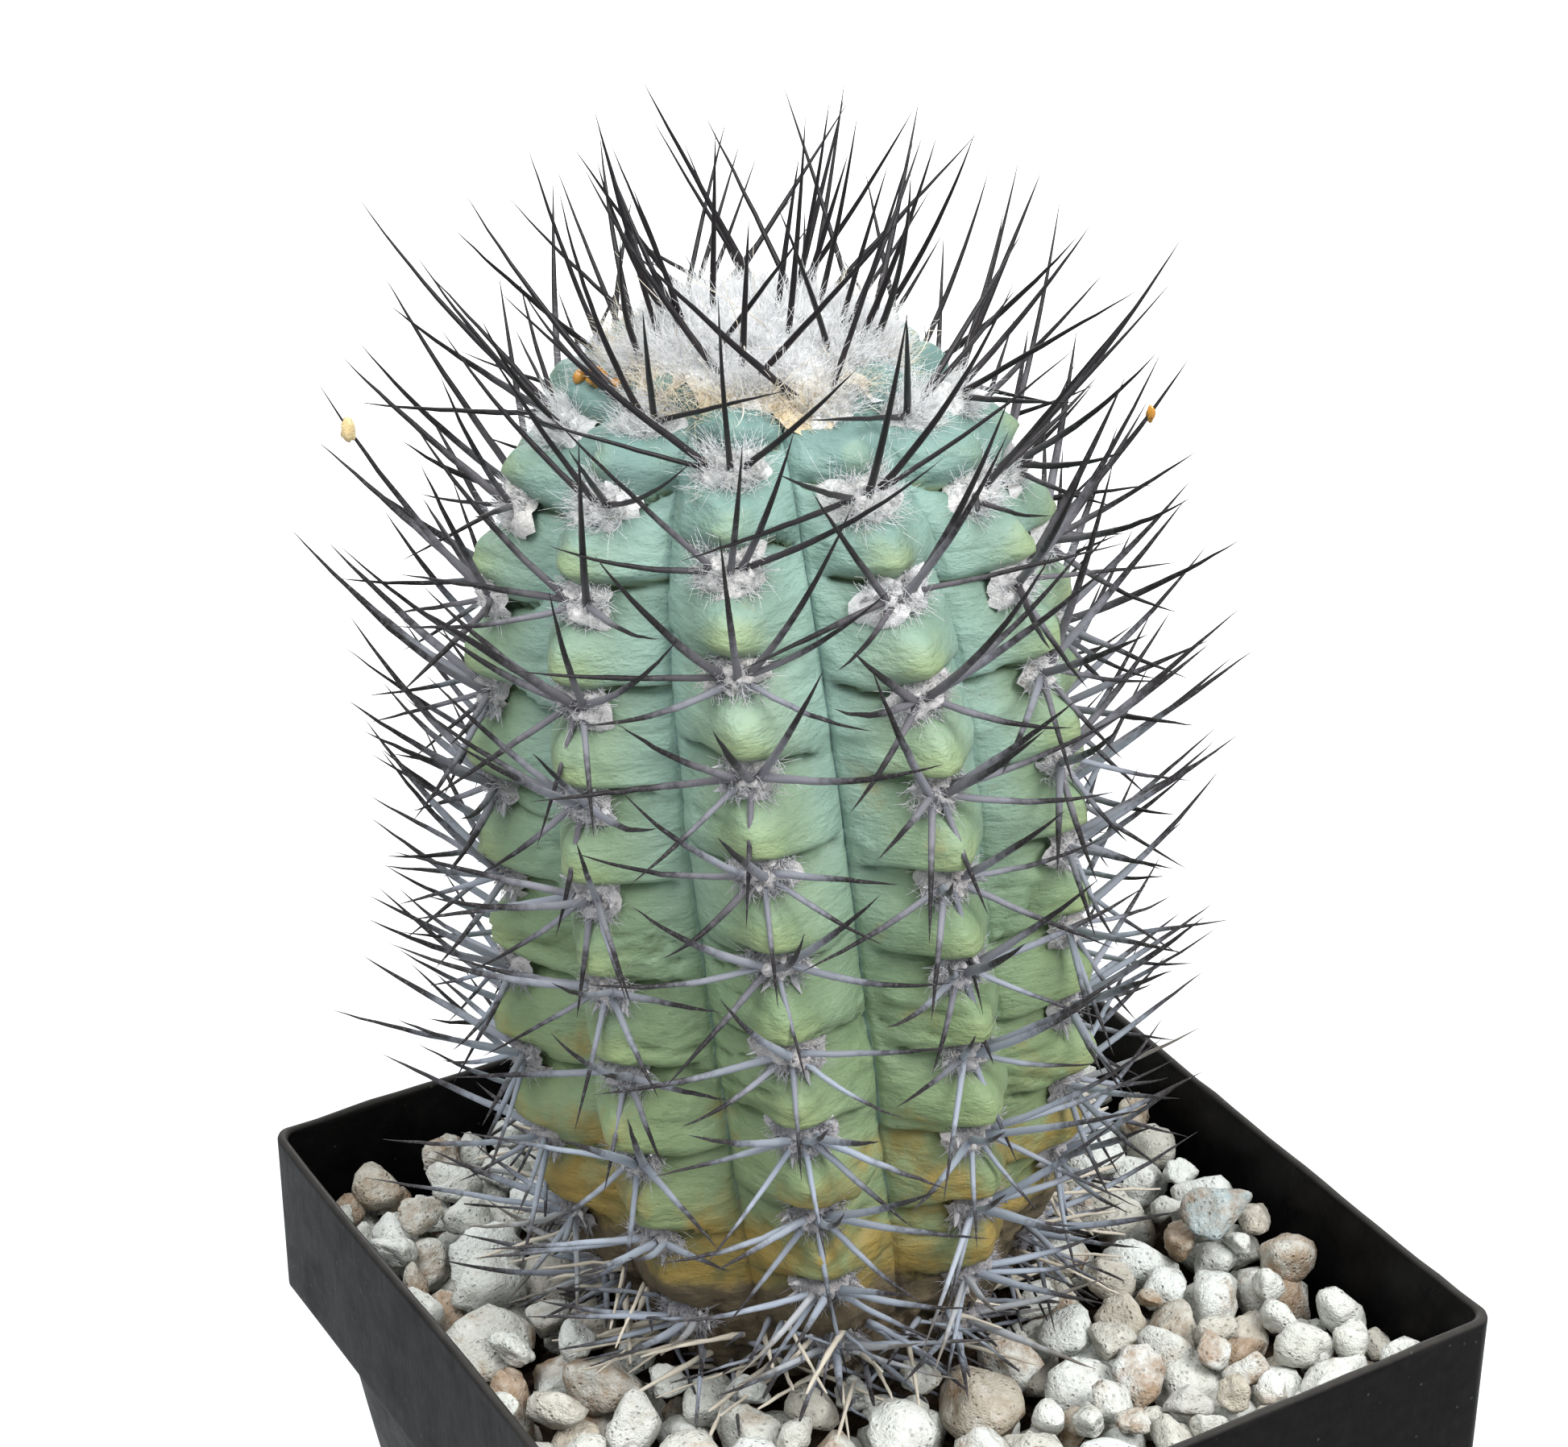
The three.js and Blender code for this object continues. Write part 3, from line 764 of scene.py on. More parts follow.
@dataclass(frozen=True)
class SpineFinish(Finish):
    """Hard spines: black when young, blue-grey with a dark tip when old, cream when dead."""

    name: str = "spine_horn"
    specular: float = 0.3
    flake: Colour = (0.3, 0.29, 0.3)
    root_by_age: Ramp = (
        (0.0, (0.016, 0.011, 0.012)),
        (0.22, (0.04, 0.034, 0.037)),
        (0.42, (0.14, 0.132, 0.145)),
        (0.6, (0.22, 0.222, 0.25)),
        (0.8, (0.29, 0.32, 0.37)),
        (0.93, (0.34, 0.38, 0.45)),
        (1.0, (0.62, 0.56, 0.46)),
    )
    tip_by_age: Ramp = (
        (0.0, (0.008, 0.006, 0.007)),
        (0.6, (0.013, 0.01, 0.011)),
        (0.93, (0.04, 0.035, 0.037)),
        (1.0, (0.5, 0.45, 0.37)),
    )

    def paint(self, graph: Surface) -> None:
        """Paints the horn by its age, darker to the tip, with streaks and flakes.

        Args:
            graph: The material to paint.
        """
        age = graph.mask("age")
        streaks = graph.maths(Sum.MINUS, graph.noise(900.0, 4.0, 0.6), 0.5)
        blend_driver = graph.maths(Sum.TIMES_PLUS, streaks, 0.5, graph.mask("along"))
        tipward = graph.maths(Sum.MINUS, blend_driver, graph.maths(Sum.TIMES, age, 0.42))
        root, tip = graph.ramp(age, self.root_by_age), graph.ramp(age, self.tip_by_age)
        colour = graph.blend(root, tip, graph.remap(tipward, 0.0, 0.38))
        flaked = graph.remap(graph.noise(2600.0, 3.0, 0.7), 0.5, 0.72, 0.0, 0.3)
        flaked = graph.maths(Sum.TIMES, flaked, graph.remap(age, 0.1, 0.8))
        colour = graph.blend(colour, self.flake, flaked)
        roughness = graph.remap(age, 0.0, 0.7, 0.42, 0.7)
        graph.dress(colour, roughness, graph.grain(2200.0, 0.5), 0.05)


@dataclass(frozen=True)
class FeltFinish(Finish):
    """Plant wool: white when young, matted and pinkish grey when old, tan in tufts."""

    name: str = "areole_felt"
    specular: float = 0.2
    soak: float = 0.3
    sheen: float = 0.25
    by_age: Ramp = (
        (0.0, (0.96, 0.97, 0.98)),
        (0.3, (0.7, 0.69, 0.72)),
        (0.6, (0.52, 0.51, 0.55)),
        (1.0, (0.42, 0.405, 0.44)),
    )
    tan: Colour = (0.66, 0.5, 0.25)
    dark_fleck: Colour = (0.12, 0.085, 0.075)

    def paint(self, graph: Surface) -> None:
        """Paints the wool by its age, with tan tufts and dark flecks in what is matted.

        Args:
            graph: The material to paint.
        """
        age = graph.mask("age")
        colour = graph.blend(graph.ramp(age, self.by_age), self.tan, graph.mask("tan"))
        # dark flecks in the felt, more of them with age
        matted = graph.mottle(colour, self.dark_fleck, Scale=1300.0, Cover=0.46, Sharpness=0.16)
        old = graph.remap(age, 0.05, 0.55, 0.0, 0.8)
        share = graph.maths(Sum.TIMES, matted["Mask"], old)
        colour = graph.blend(colour, self.dark_fleck, share)
        graph.dress(colour, graph.remap(share, 0.0, 1.0, 0.95, 0.8), graph.grain(1800.0), 0.5)
        graph.feed(
            graph.shader,
            Sheen_Weight=self.sheen,
            Sheen_Roughness=0.6,
            Subsurface_Weight=self.soak,
            Subsurface_Radius=(1.6 * MM, 1.6 * MM, 1.6 * MM),
        )


@dataclass(frozen=True)
class PumiceFinish(Finish):
    """Pitted volcanic gravel: cream to tan, with brown stains and dust."""

    name: str = "pumice"
    specular: float = 0.25
    by_tone: Ramp = (
        (0.0, (0.75, 0.78, 0.755)),
        (0.25, (0.65, 0.665, 0.625)),
        (0.5, (0.555, 0.56, 0.505)),
        (0.72, (0.45, 0.395, 0.31)),
        (0.88, (0.5, 0.52, 0.51)),
        (1.0, (0.33, 0.4, 0.41)),
    )
    stain: Colour = (0.25, 0.135, 0.05)
    # colour of the painted shade in the pits and holes
    pit: Colour = (0.14, 0.11, 0.08)
    pale: Colour = (0.84, 0.83, 0.79)
    shade: Colour = (0.33, 0.28, 0.21)
    dust: Colour = (0.78, 0.77, 0.72)

    def paint(self, graph: Surface) -> None:
        """Paints the grains by their tone, with stains, painted shade in their pits and holes, and
        dust.

        Args:
            graph: The material to paint.
        """
        colour = graph.ramp(graph.mask("tone"), self.by_tone)
        pale = graph.mottle(colour, self.pale, Scale=420.0, Cover=0.47, Sharpness=0.25)
        colour = graph.blend(colour, pale["Color"], 0.6)
        shaded = graph.remap(graph.noise(800.0, 4.0, 0.7), 0.5, 0.75, 0.0, 0.4)
        colour = graph.blend(colour, self.shade, shaded)
        patches = graph.noise(170.0, 5.0, 0.68)
        rust = graph.maths(Sum.TIMES_PLUS, patches, 1.2, graph.mask("stain"))
        colour = graph.blend(colour, self.stain, graph.remap(rust, 0.78, 1.1, 0.0, 0.85))
        holes = graph.effect(Effect.SPECKS, Scale=1500.0, Size=0.36, Strength=0.45)["Mask"]
        # painted shade: pits and holes are coloured dark brown
        pit_shade_share = graph.maths(Sum.LARGER, holes, graph.mask("pit"))
        colour = graph.blend(colour, self.pit, graph.maths(Sum.TIMES, pit_shade_share, 0.6))
        dusted = graph.effect(
            Effect.DUST, Color=colour, Dust_Color=self.dust, Scale=700.0, Amount=0.3
        )
        roughness = graph.remap(dusted["Mask"], 0.0, 0.4, 0.8, 0.97)
        height = graph.maths(Sum.TIMES_PLUS, holes, -1.2, graph.grain(1100.0))
        graph.dress(dusted["Color"], roughness, height, 0.6)


@dataclass(frozen=True)
class PlasticFinish(Finish):
    """Thin black pot plastic with a satin sheen, fine scratches, dust, lime marks and a painted
    highlight on its lip and step edge.
    """

    name: str = "pot_plastic"
    specular: float = 0.04
    base: Colour = (0.004, 0.0037, 0.004)
    cloud: Colour = (0.01, 0.0085, 0.0085)
    dust: Colour = (0.2, 0.18, 0.17)
    lime: Colour = (0.4, 0.38, 0.35)
    # colour of the painted highlight on the lip and the band's lower edge
    rubbed: Colour = (0.32, 0.3, 0.27)

    def paint(self, graph: Surface) -> None:
        """Paints the plastic, its dust and lime, and a painted highlight along the lip and the step
        edge.

        Args:
            graph: The material to paint.
        """
        cloudy = graph.mottle(self.base, self.cloud, Scale=60.0, Cover=0.5, Sharpness=0.4)
        dusted = graph.effect(
            Effect.DUST, Color=cloudy["Color"], Dust_Color=self.dust, Scale=420.0, Amount=0.05
        )
        lime = graph.effect(Effect.SPECKS, Scale=520.0, Size=0.12, Strength=0.5)["Mask"]
        colour = graph.blend(dusted["Color"], self.lime, graph.maths(Sum.TIMES, lime, 0.3))
        # painted highlight: the lip and the band's lower edge are coloured lighter
        blend_driver = graph.maths(Sum.TIMES, graph.mask("rubbed"), 0.1)
        colour = graph.blend(colour, self.rubbed, blend_driver)
        smear = graph.remap(graph.noise(140.0, 5.0, 0.7), 0.3, 0.75, 0.26, 0.42)
        graph.dress(colour, smear, graph.grain(700.0, 0.25), 0.035)


@dataclass(frozen=True)
class MixFinish(Finish):
    """Dark potting mix with pale crumbs."""

    name: str = "potting_mix"
    specular: float = 0.2
    peat: Colour = (0.03, 0.02, 0.012)
    bark: Colour = (0.1, 0.065, 0.04)
    grit: Colour = (0.5, 0.44, 0.35)

    def paint(self, graph: Surface) -> None:
        """Paints the mix, with its bark and its grit.

        Args:
            graph: The material to paint.
        """
        crumbs = graph.mottle(self.peat, self.bark, Scale=500.0, Cover=0.5, Sharpness=0.15)
        grit = graph.effect(Effect.SPECKS, Scale=420.0, Size=0.25, Strength=0.9)["Mask"]
        colour = graph.blend(crumbs["Color"], self.grit, grit)
        roughness = graph.remap(crumbs["Mask"], 0.0, 1.0, 0.95, 0.85)
        graph.dress(colour, roughness, graph.grain(600.0), 0.8)


@dataclass(frozen=True)
class ResinFinish(Finish):
    """Clear amber drops that the plant has wept, with darker hearts."""

    name: str = "dried_resin"
    specular: float = 0.6
    amber: Colour = (0.48, 0.23, 0.035)
    heart: Colour = (0.2, 0.075, 0.012)

    def paint(self, graph: Surface) -> None:
        """Paints the drops.

        Args:
            graph: The material to paint.
        """
        drop = graph.mottle(self.amber, self.heart, Scale=900.0, Cover=0.5, Sharpness=0.3)
        roughness = graph.remap(drop["Mask"], 0.0, 1.0, 0.12, 0.3)
        graph.dress(drop["Color"], roughness, graph.grain(900.0), 0.08)
        radius = (1.0 * MM, 0.4 * MM, 0.1 * MM)
        graph.feed(graph.shader, Subsurface_Weight=0.2, Subsurface_Radius=radius)


# ---- the stem's form


@dataclass(frozen=True)
class Areole:
    """A cushion on a rib that bears wool and spines, with its own directions."""

    rib: int
    row: int
    share: float
    seat: Array
    out: Array
    up: Array
    side: Array

    def aim(self, up: float, side: float) -> Array:
        """Direction at angles, in degrees, up and sideways from straight out.

        Args:
            up: Angle above straight out, in degrees.
            side: Angle beside it, in degrees.

        Returns:
            A direction of length one.
        """
        rise, turn = math.radians(up), math.radians(side)
        level = self.out * math.cos(turn) + self.side * math.sin(turn)
        return level * math.cos(rise) + self.up * math.sin(rise)

    def at(self, x: Array, y: Array, rise: Array) -> Array:
        """Places near the seat.

        Args:
            x: Distances sideways.
            y: Distances up the rib.
            rise: Distances out of the skin.

        Returns:
            One place for each distance.
        """
        beside = self.side * x[:, None]
        return self.seat + beside + self.up * y[:, None] + self.out * rise[:, None]


@dataclass(frozen=True)
class StemForm:
    """The ribbed body, as lengths down a rib crest and broken rib numbers round it."""

    gravel: float
    foot: Pair = (-2.4, 7.0)
    lean: Pair = (-4.7, 2.8)
    height: float = 116.0
    radius: float = 32.6
    waist_share: float = 0.35
    base_narrowing: float = 0.34
    dome_fullness: float = 4.4
    dome_edge: float = 0.43
    ribs: int = 10
    facing_rib: int = 3
    facing_azimuth: float = math.radians(-122.0)
    twist: float = math.radians(-17.7)
    furrow_depth: float = 6.6
    furrow_hollow: float = 0.1
    base_furrow_share: float = 0.3
    base_furrow_reach: float = 0.3
    areole_pitch: float = 10.5
    areole_spiral: float = 0.382
    notch_depth: float = 2.2
    chin_height: float = 1.0
    crease_depth: float = 1.9
    wrinkle_depth: float = 1.15
    panel_step: float = 1.3

    def crest(self, share: Array) -> Array:
        """Radius of the rib crests at a share of the height.

        Args:
            share: Shares of the height.

        Returns:
            The radii there.
        """
        below = np.clip(1.0 - share / self.waist_share, 0.0, 1.0)
        above = np.clip((share - self.waist_share) / (1.0 - self.waist_share), 0.0, 1.0)
        narrow = 1.0 - self.base_narrowing * below**2
        dome = (1.0 - above**self.dome_fullness) ** self.dome_edge
        return self.radius * np.where(share < self.waist_share, narrow, dome)

    @cached_property
    def tables(self) -> Arrays:
        """Lengths down a crest from the apex, and the shares of the height there.

        Returns:
            The lengths and the shares.
        """
        share = 1.0 - np.linspace(0.0, 1.0, 401) ** 2
        crest = self.crest(share)
        steps = np.hypot(np.diff(share) * self.height, np.diff(crest))
        return np.concatenate([[0.0], np.cumsum(steps)]), share

    @property
    def crest_length(self) -> float:
        """Length of a crest from the apex to the gravel."""
        return float(self.tables[0][-1])

    @property
    def row_end(self) -> float:
        """The gravel's place, counted in areole pitches from the apex."""
        return self.crest_length / self.areole_pitch

    def shift(self, rib: int) -> float:
        """A rib's part of a pitch by which its areoles are moved."""
        return (self.areole_spiral * (rib - self.facing_rib) + 0.5) % 1.0 - 0.5

    def row_length(self, row: Array, rib: int) -> Array:
        """Length down the crest of a row on a rib.

        Args:
            row: Row numbers, with fractions.
            rib: The rib's number.

        Returns:
            The lengths.
        """
        hold = smooth(row / 1.5) * smooth((self.row_end - row) / 2.2)
        return self.areole_pitch * (row + self.shift(rib) * hold)

    @property
    def apex(self) -> Array:
        """The stem's top, in the middle of the crown."""
        return self.place(np.zeros(1), np.ones(1), np.zeros(1))[0]

    def rows_at(self, rib: Array, length: Array) -> Array:
        """Finds row numbers, with fractions.

        Args:
            rib: Rib numbers.
            length: Lengths down those ribs.

        Returns:
            The row numbers.
        """
        rows = np.linspace(0.0, self.row_end, 600)
        found = np.zeros(len(length))
        for number in range(self.ribs):
            chosen = rib == number
            found[chosen] = np.interp(length[chosen], self.row_length(rows, number), rows)
        return found

    def place(self, rib: Array, share: Array, radius: Array) -> Array:
        """Places at rib numbers, shares of the height and radii from the leaning axis.

        Args:
            rib: Broken rib numbers.
            share: Shares of the height.
            radius: Distances from the leaning axis.

        Returns:
            The places.
        """
        azimuth = self.facing_azimuth + FULL_TURN / self.ribs * (rib - self.facing_rib)
        azimuth = azimuth + self.twist * (share - 0.5)
        x = self.foot[0] + self.lean[0] * share + radius * np.cos(azimuth)
        y = self.foot[1] + self.lean[1] * share + radius * np.sin(azimuth)
        return np.stack([x, y, self.gravel + share * self.height], axis=-1)

    def surface(self, rib: Array, length: Array) -> tuple[Array, dict[str, Array]]:
        """Shapes the skin.

        Args:
            rib: Broken rib numbers; a half lies in a furrow.
            length: Lengths down the crest from the apex.

        Returns:
            Places, and the values that colour them.
        """
        share = np.interp(length, *self.tables)
        near = np.round(rib)
        across = np.abs(2.0 * (rib - near))
        hand = np.sign(rib - near)
        number = near.astype(int) % self.ribs
        row = self.rows_at(number, length)
        phase = row % 1.0
        crest = self.crest(share)
        ripeness = smooth(share / self.base_furrow_reach)
        fullness = lerp(self.base_furrow_share, 1.0, ripeness)
        furrow = self.furrow_depth * crest / self.radius * fullness
        slope = lerp(across, across**2, self.furrow_hollow)
        swell = smooth((phase - 0.1) / 0.45) * (1.0 - smooth((phase - 0.73) / 0.17))
        narrow = np.exp(-((across / 0.25) ** 2))
        young = np.minimum(1.0, crest / (0.5 * self.radius))
        notch = self.notch_depth * fullness * young
        relief = -notch * (1.0 - swell) * (1.0 - across) ** 1.7
        relief += self.chin_height * swell * narrow * fullness * young
        crease, panels = self.creases(number, hand, row, across)
        relief += (panels - self.crease_depth * crease) * fullness * young
        wrinkles, folds = self.wrinkles(rib, length, across, share)
        relief -= wrinkles
        relief -= 0.5 * smooth((across - 0.965) / 0.035) * fullness * young
        points = self.place(rib, share, crest - furrow * slope)
        lumps = layered_noise(points / 9.0, 5) * 0.42
        lumps += layered_noise(points / np.array([5.0, 5.0, 2.6]), 6, 2) * 0.2
        cork = 1.0 - smooth((share - 0.08) / 0.13)
        scurf = layered_noise(points / np.array([2.2, 2.2, 4.5]), 9, 4) * 0.6 * cork
        span = 0.004
        below, above = (self.crest(np.clip(share + move, 0.0, 1.0)) for move in (-span, span))
        tilt = np.arctan2(np.maximum(below - above, 0.0), 2.0 * span * self.height)
        lift = relief + lumps * ripeness + scurf
        out = unit(points - self.place(rib, share, np.zeros(len(rib))))
        points = points + out * (lift * np.cos(tilt))[:, None]
        points[:, 2] += lift * np.sin(tilt)
        dulled = 1.0 - 0.7 * smooth((share - 0.84) / 0.12)
        chin = swell * np.exp(-((across / 0.36) ** 2)) * smooth((phase - 0.25) / 0.5)
        masks = {
            "height": share,
            "chin": chin * (1.0 - cork) * dulled,
            # painted shade mask: the creases and wrinkle folds are coloured darker
            "crease": np.clip(crease + folds, 0.0, 1.0),
            "valley": smooth((across - 0.25) / 0.7) * ripeness,
            # painted shade mask: the narrow bottom of each furrow
            "furrow": smooth((across - 0.968) / 0.02) * ripeness * 0.8,
            "cork": cork,
            "ochre": 1.0 - smooth((share - 0.08) / 0.32) + 0.15 * swell * (share < 0.4),
        }
        return points, masks

    def creases(self, number: Array, hand: Array, row: Array, across: Array) -> Arrays:
        """The fold that runs from under each areole's upper chin to the furrow.

        Args:
            number: Rib numbers.
            hand: Which flank, -1 or 1.
            row: Row numbers with fractions.
            across: From 0 on the crest to 1 in the furrow.

        Returns:
            How deep each point lies in a fold, and how far the panel between folds
            swells.
        """
        nearest = np.round(row)
        spot = np.stack([nearest * 3.7 + hand * 11.0, number * 5.3, across * 2.2], axis=-1)
        wander = lattice_noise(spot, 21) * 0.13 - 0.06 * across - 0.05
        reach = 0.74 + 0.3 * lattice_noise(spot * LEVEL + 0.5, 22)
        away = row - nearest - wander
        width = lerp(0.04, 0.028, across)
        fade = smooth((across - 0.1) / 0.12) * (1.0 - smooth((across - reach) / 0.22))
        fold = np.exp(-((away / width) ** 2)) * fade
        below = (row - wander) % 1.0
        tooth = smooth(below / 0.85) * (1.0 - smooth((below - 0.93) / 0.07)) - 0.45
        panels = self.panel_step * tooth * smooth(across / 0.2)
        return fold, panels * (1.0 - smooth((across - reach) / 0.35))

    def wrinkles(self, rib: Array, length: Array, across: Array, share: Array) -> Arrays:
        """Fine folds across the flanks, thickest on the older, lower skin.

        Args:
            rib: Broken rib numbers.
            length: Lengths down the crest.
            across: From 0 on the crest to 1 in the furrow.
            share: Shares of the height.

        Returns:
            Depth in millimetres, and the same from 0 to 1 for the painted shade in the folds.
        """
        turn = FULL_TURN * rib / self.ribs
        ring = np.stack([np.cos(turn) * 2.9, np.sin(turn) * 2.9, length / 2.6], axis=-1)
        bend = lattice_noise(ring * np.array([1.5, 1.5, 0.3]), 31)[:, None]
        ridged = 1.0 - np.abs(lattice_noise(ring + bend * 0.5, 32)) * 3.6
        finer = 1.0 - np.abs(lattice_noise(ring * np.array([2.0, 2.0, 2.3]) + bend, 33)) * 3.4
        folds = np.clip(ridged, 0.0, 1.0) ** 2 + 0.5 * np.clip(finer, 0.0, 1.0) ** 2
        patchy = smooth(0.5 + 1.3 * lattice_noise(ring * 0.45, 34))
        older = 1.0 - 0.8 * smooth((share - 0.45) / 0.4)
        calm = smooth(across / 0.3) * (1.0 - 0.7 * smooth((across - 0.85) / 0.1))
        shown = folds * patchy * older * lerp(0.35, 1.0, calm)
        return self.wrinkle_depth * shown, 0.55 * np.clip(shown, 0.0, 1.0)

    def areole(self, rib: int, row: int) -> Areole:
        """Finds the seat and directions of one areole.

        Args:
            rib: The rib's number.
            row: Its row, counted from the crown.

        Returns:
            The areole.
        """
        length = float(self.row_length(np.array(float(row)), rib))
        step = 0.3
        ribs = np.full(3, float(rib))
        lengths = np.array([length, length - step, length + step])
        points, masks = self.surface(ribs, np.minimum(lengths, self.crest_length))
        heights = masks["height"]
        share = float(heights[0])
        crests = self.place(ribs, heights, self.crest(heights))
        up = unit(crests[1] - crests[2])
        axis = self.place(ribs[:1], heights[:1], np.zeros(1))[0]
        level = unit((points[0] - axis) * LEVEL)
        side = unit(np.cross(up, level))
        return Areole(rib, row, share, points[0], unit(np.cross(side, up)), up, side)

    def areoles(self) -> list[Areole]:
        """All areoles, from the crown to the gravel."""
        rows = range(1, int(self.row_end + 0.4))
        return [self.areole(rib, row) for rib in range(self.ribs) for row in rows]


@dataclass
class Stem:
    """The grown body: ribbed skin above the gravel and a taproot below it."""

    form: StemForm
    columns_per_rib: int = 36
    row_step: float = 0.55
    furrow_crowding: float = 0.45
    root_depth: float = 34.0
    root_tip: float = 4.0
    root_rows: int = 12

    def build(self, skin: Material) -> Piece:
        """Makes the skin as one closed mesh.

        Args:
            skin: Its finish.

        Returns:
            The piece.
        """
        form = self.form
        columns = form.ribs * self.columns_per_rib
        rows = int(form.crest_length / self.row_step)
        lengths = np.linspace(self.row_step, form.crest_length, rows)
        even = np.arange(columns) / self.columns_per_rib
        ribs = even + self.furrow_crowding * np.sin(FULL_TURN * even) / FULL_TURN
        length, rib = (grid.ravel() for grid in np.meshgrid(lengths, ribs, indexing="ij"))
        points, masks = form.surface(rib, length)
        depth = np.linspace(0.0, 1.0, self.root_rows + 1)[1:]
        ring = points[-columns:]
        middle = ring.mean(axis=0)
        roots = []
        for share in depth:
            shrink = lerp(1.0, self.root_tip / form.crest(np.array(0.0)), share**0.8)
            low = middle + (ring - middle) * [shrink, shrink, 0.0]
            low[:, 2] = form.gravel - self.root_depth * share
            roots.append(low + 0.25 * layered_noise(low / 2.0, 41)[:, None] * (share < 1.0))
        top, tip = points[:columns].mean(axis=0), roots[-1].mean(axis=0)
        every = np.concatenate([points, *roots, [top], [tip]])
        below = len(every) - len(points)
        values = {
            name: np.concatenate([mask, np.full(below, 1.0 if name == "cork" else 0.0)])
            for name, mask in masks.items()
        }
        draft = Draft()
        draft.add(every, shell_faces(rows + self.root_rows, columns, flipped=True), **values)
        return draft.build("stem_skin", skin, "skin", "stem")


# ---- spines


@dataclass(frozen=True)
class SpineRole:
    """One spine of a cluster: where it leaves the felt, where it points, how big."""

    up: float
    side: float
    foot_up: float
    length: float
    girth: float
    to_share: float = 2.0


ROLES: tuple[SpineRole, ...] = (
    SpineRole(34.0, 5.0, -0.2, 1.15, 1.1, to_share=0.97),
    SpineRole(33.0, -38.0, 0.0, 1.05, 1.05),
    SpineRole(33.0, 38.0, 0.0, 1.05, 1.05),
    SpineRole(4.0, -64.0, 0.0, 0.95, 0.95, to_share=0.97),
    SpineRole(4.0, 64.0, 0.0, 0.95, 0.95, to_share=0.97),
    SpineRole(-30.0, -50.0, -0.6, 0.8, 0.85, to_share=0.9),
    SpineRole(-30.0, 50.0, -0.6, 0.8, 0.85, to_share=0.82),
    SpineRole(-66.0, 3.0, -0.9, 0.75, 0.8, to_share=0.74),
)
AGE_SHARES = (0.0, 0.12, 0.3, 0.5, 0.7, 0.85, 0.95, 1.0)
AGES = (0.93, 0.88, 0.78, 0.65, 0.52, 0.36, 0.1, 0.0)
NOTHING_NEAR = 99.0


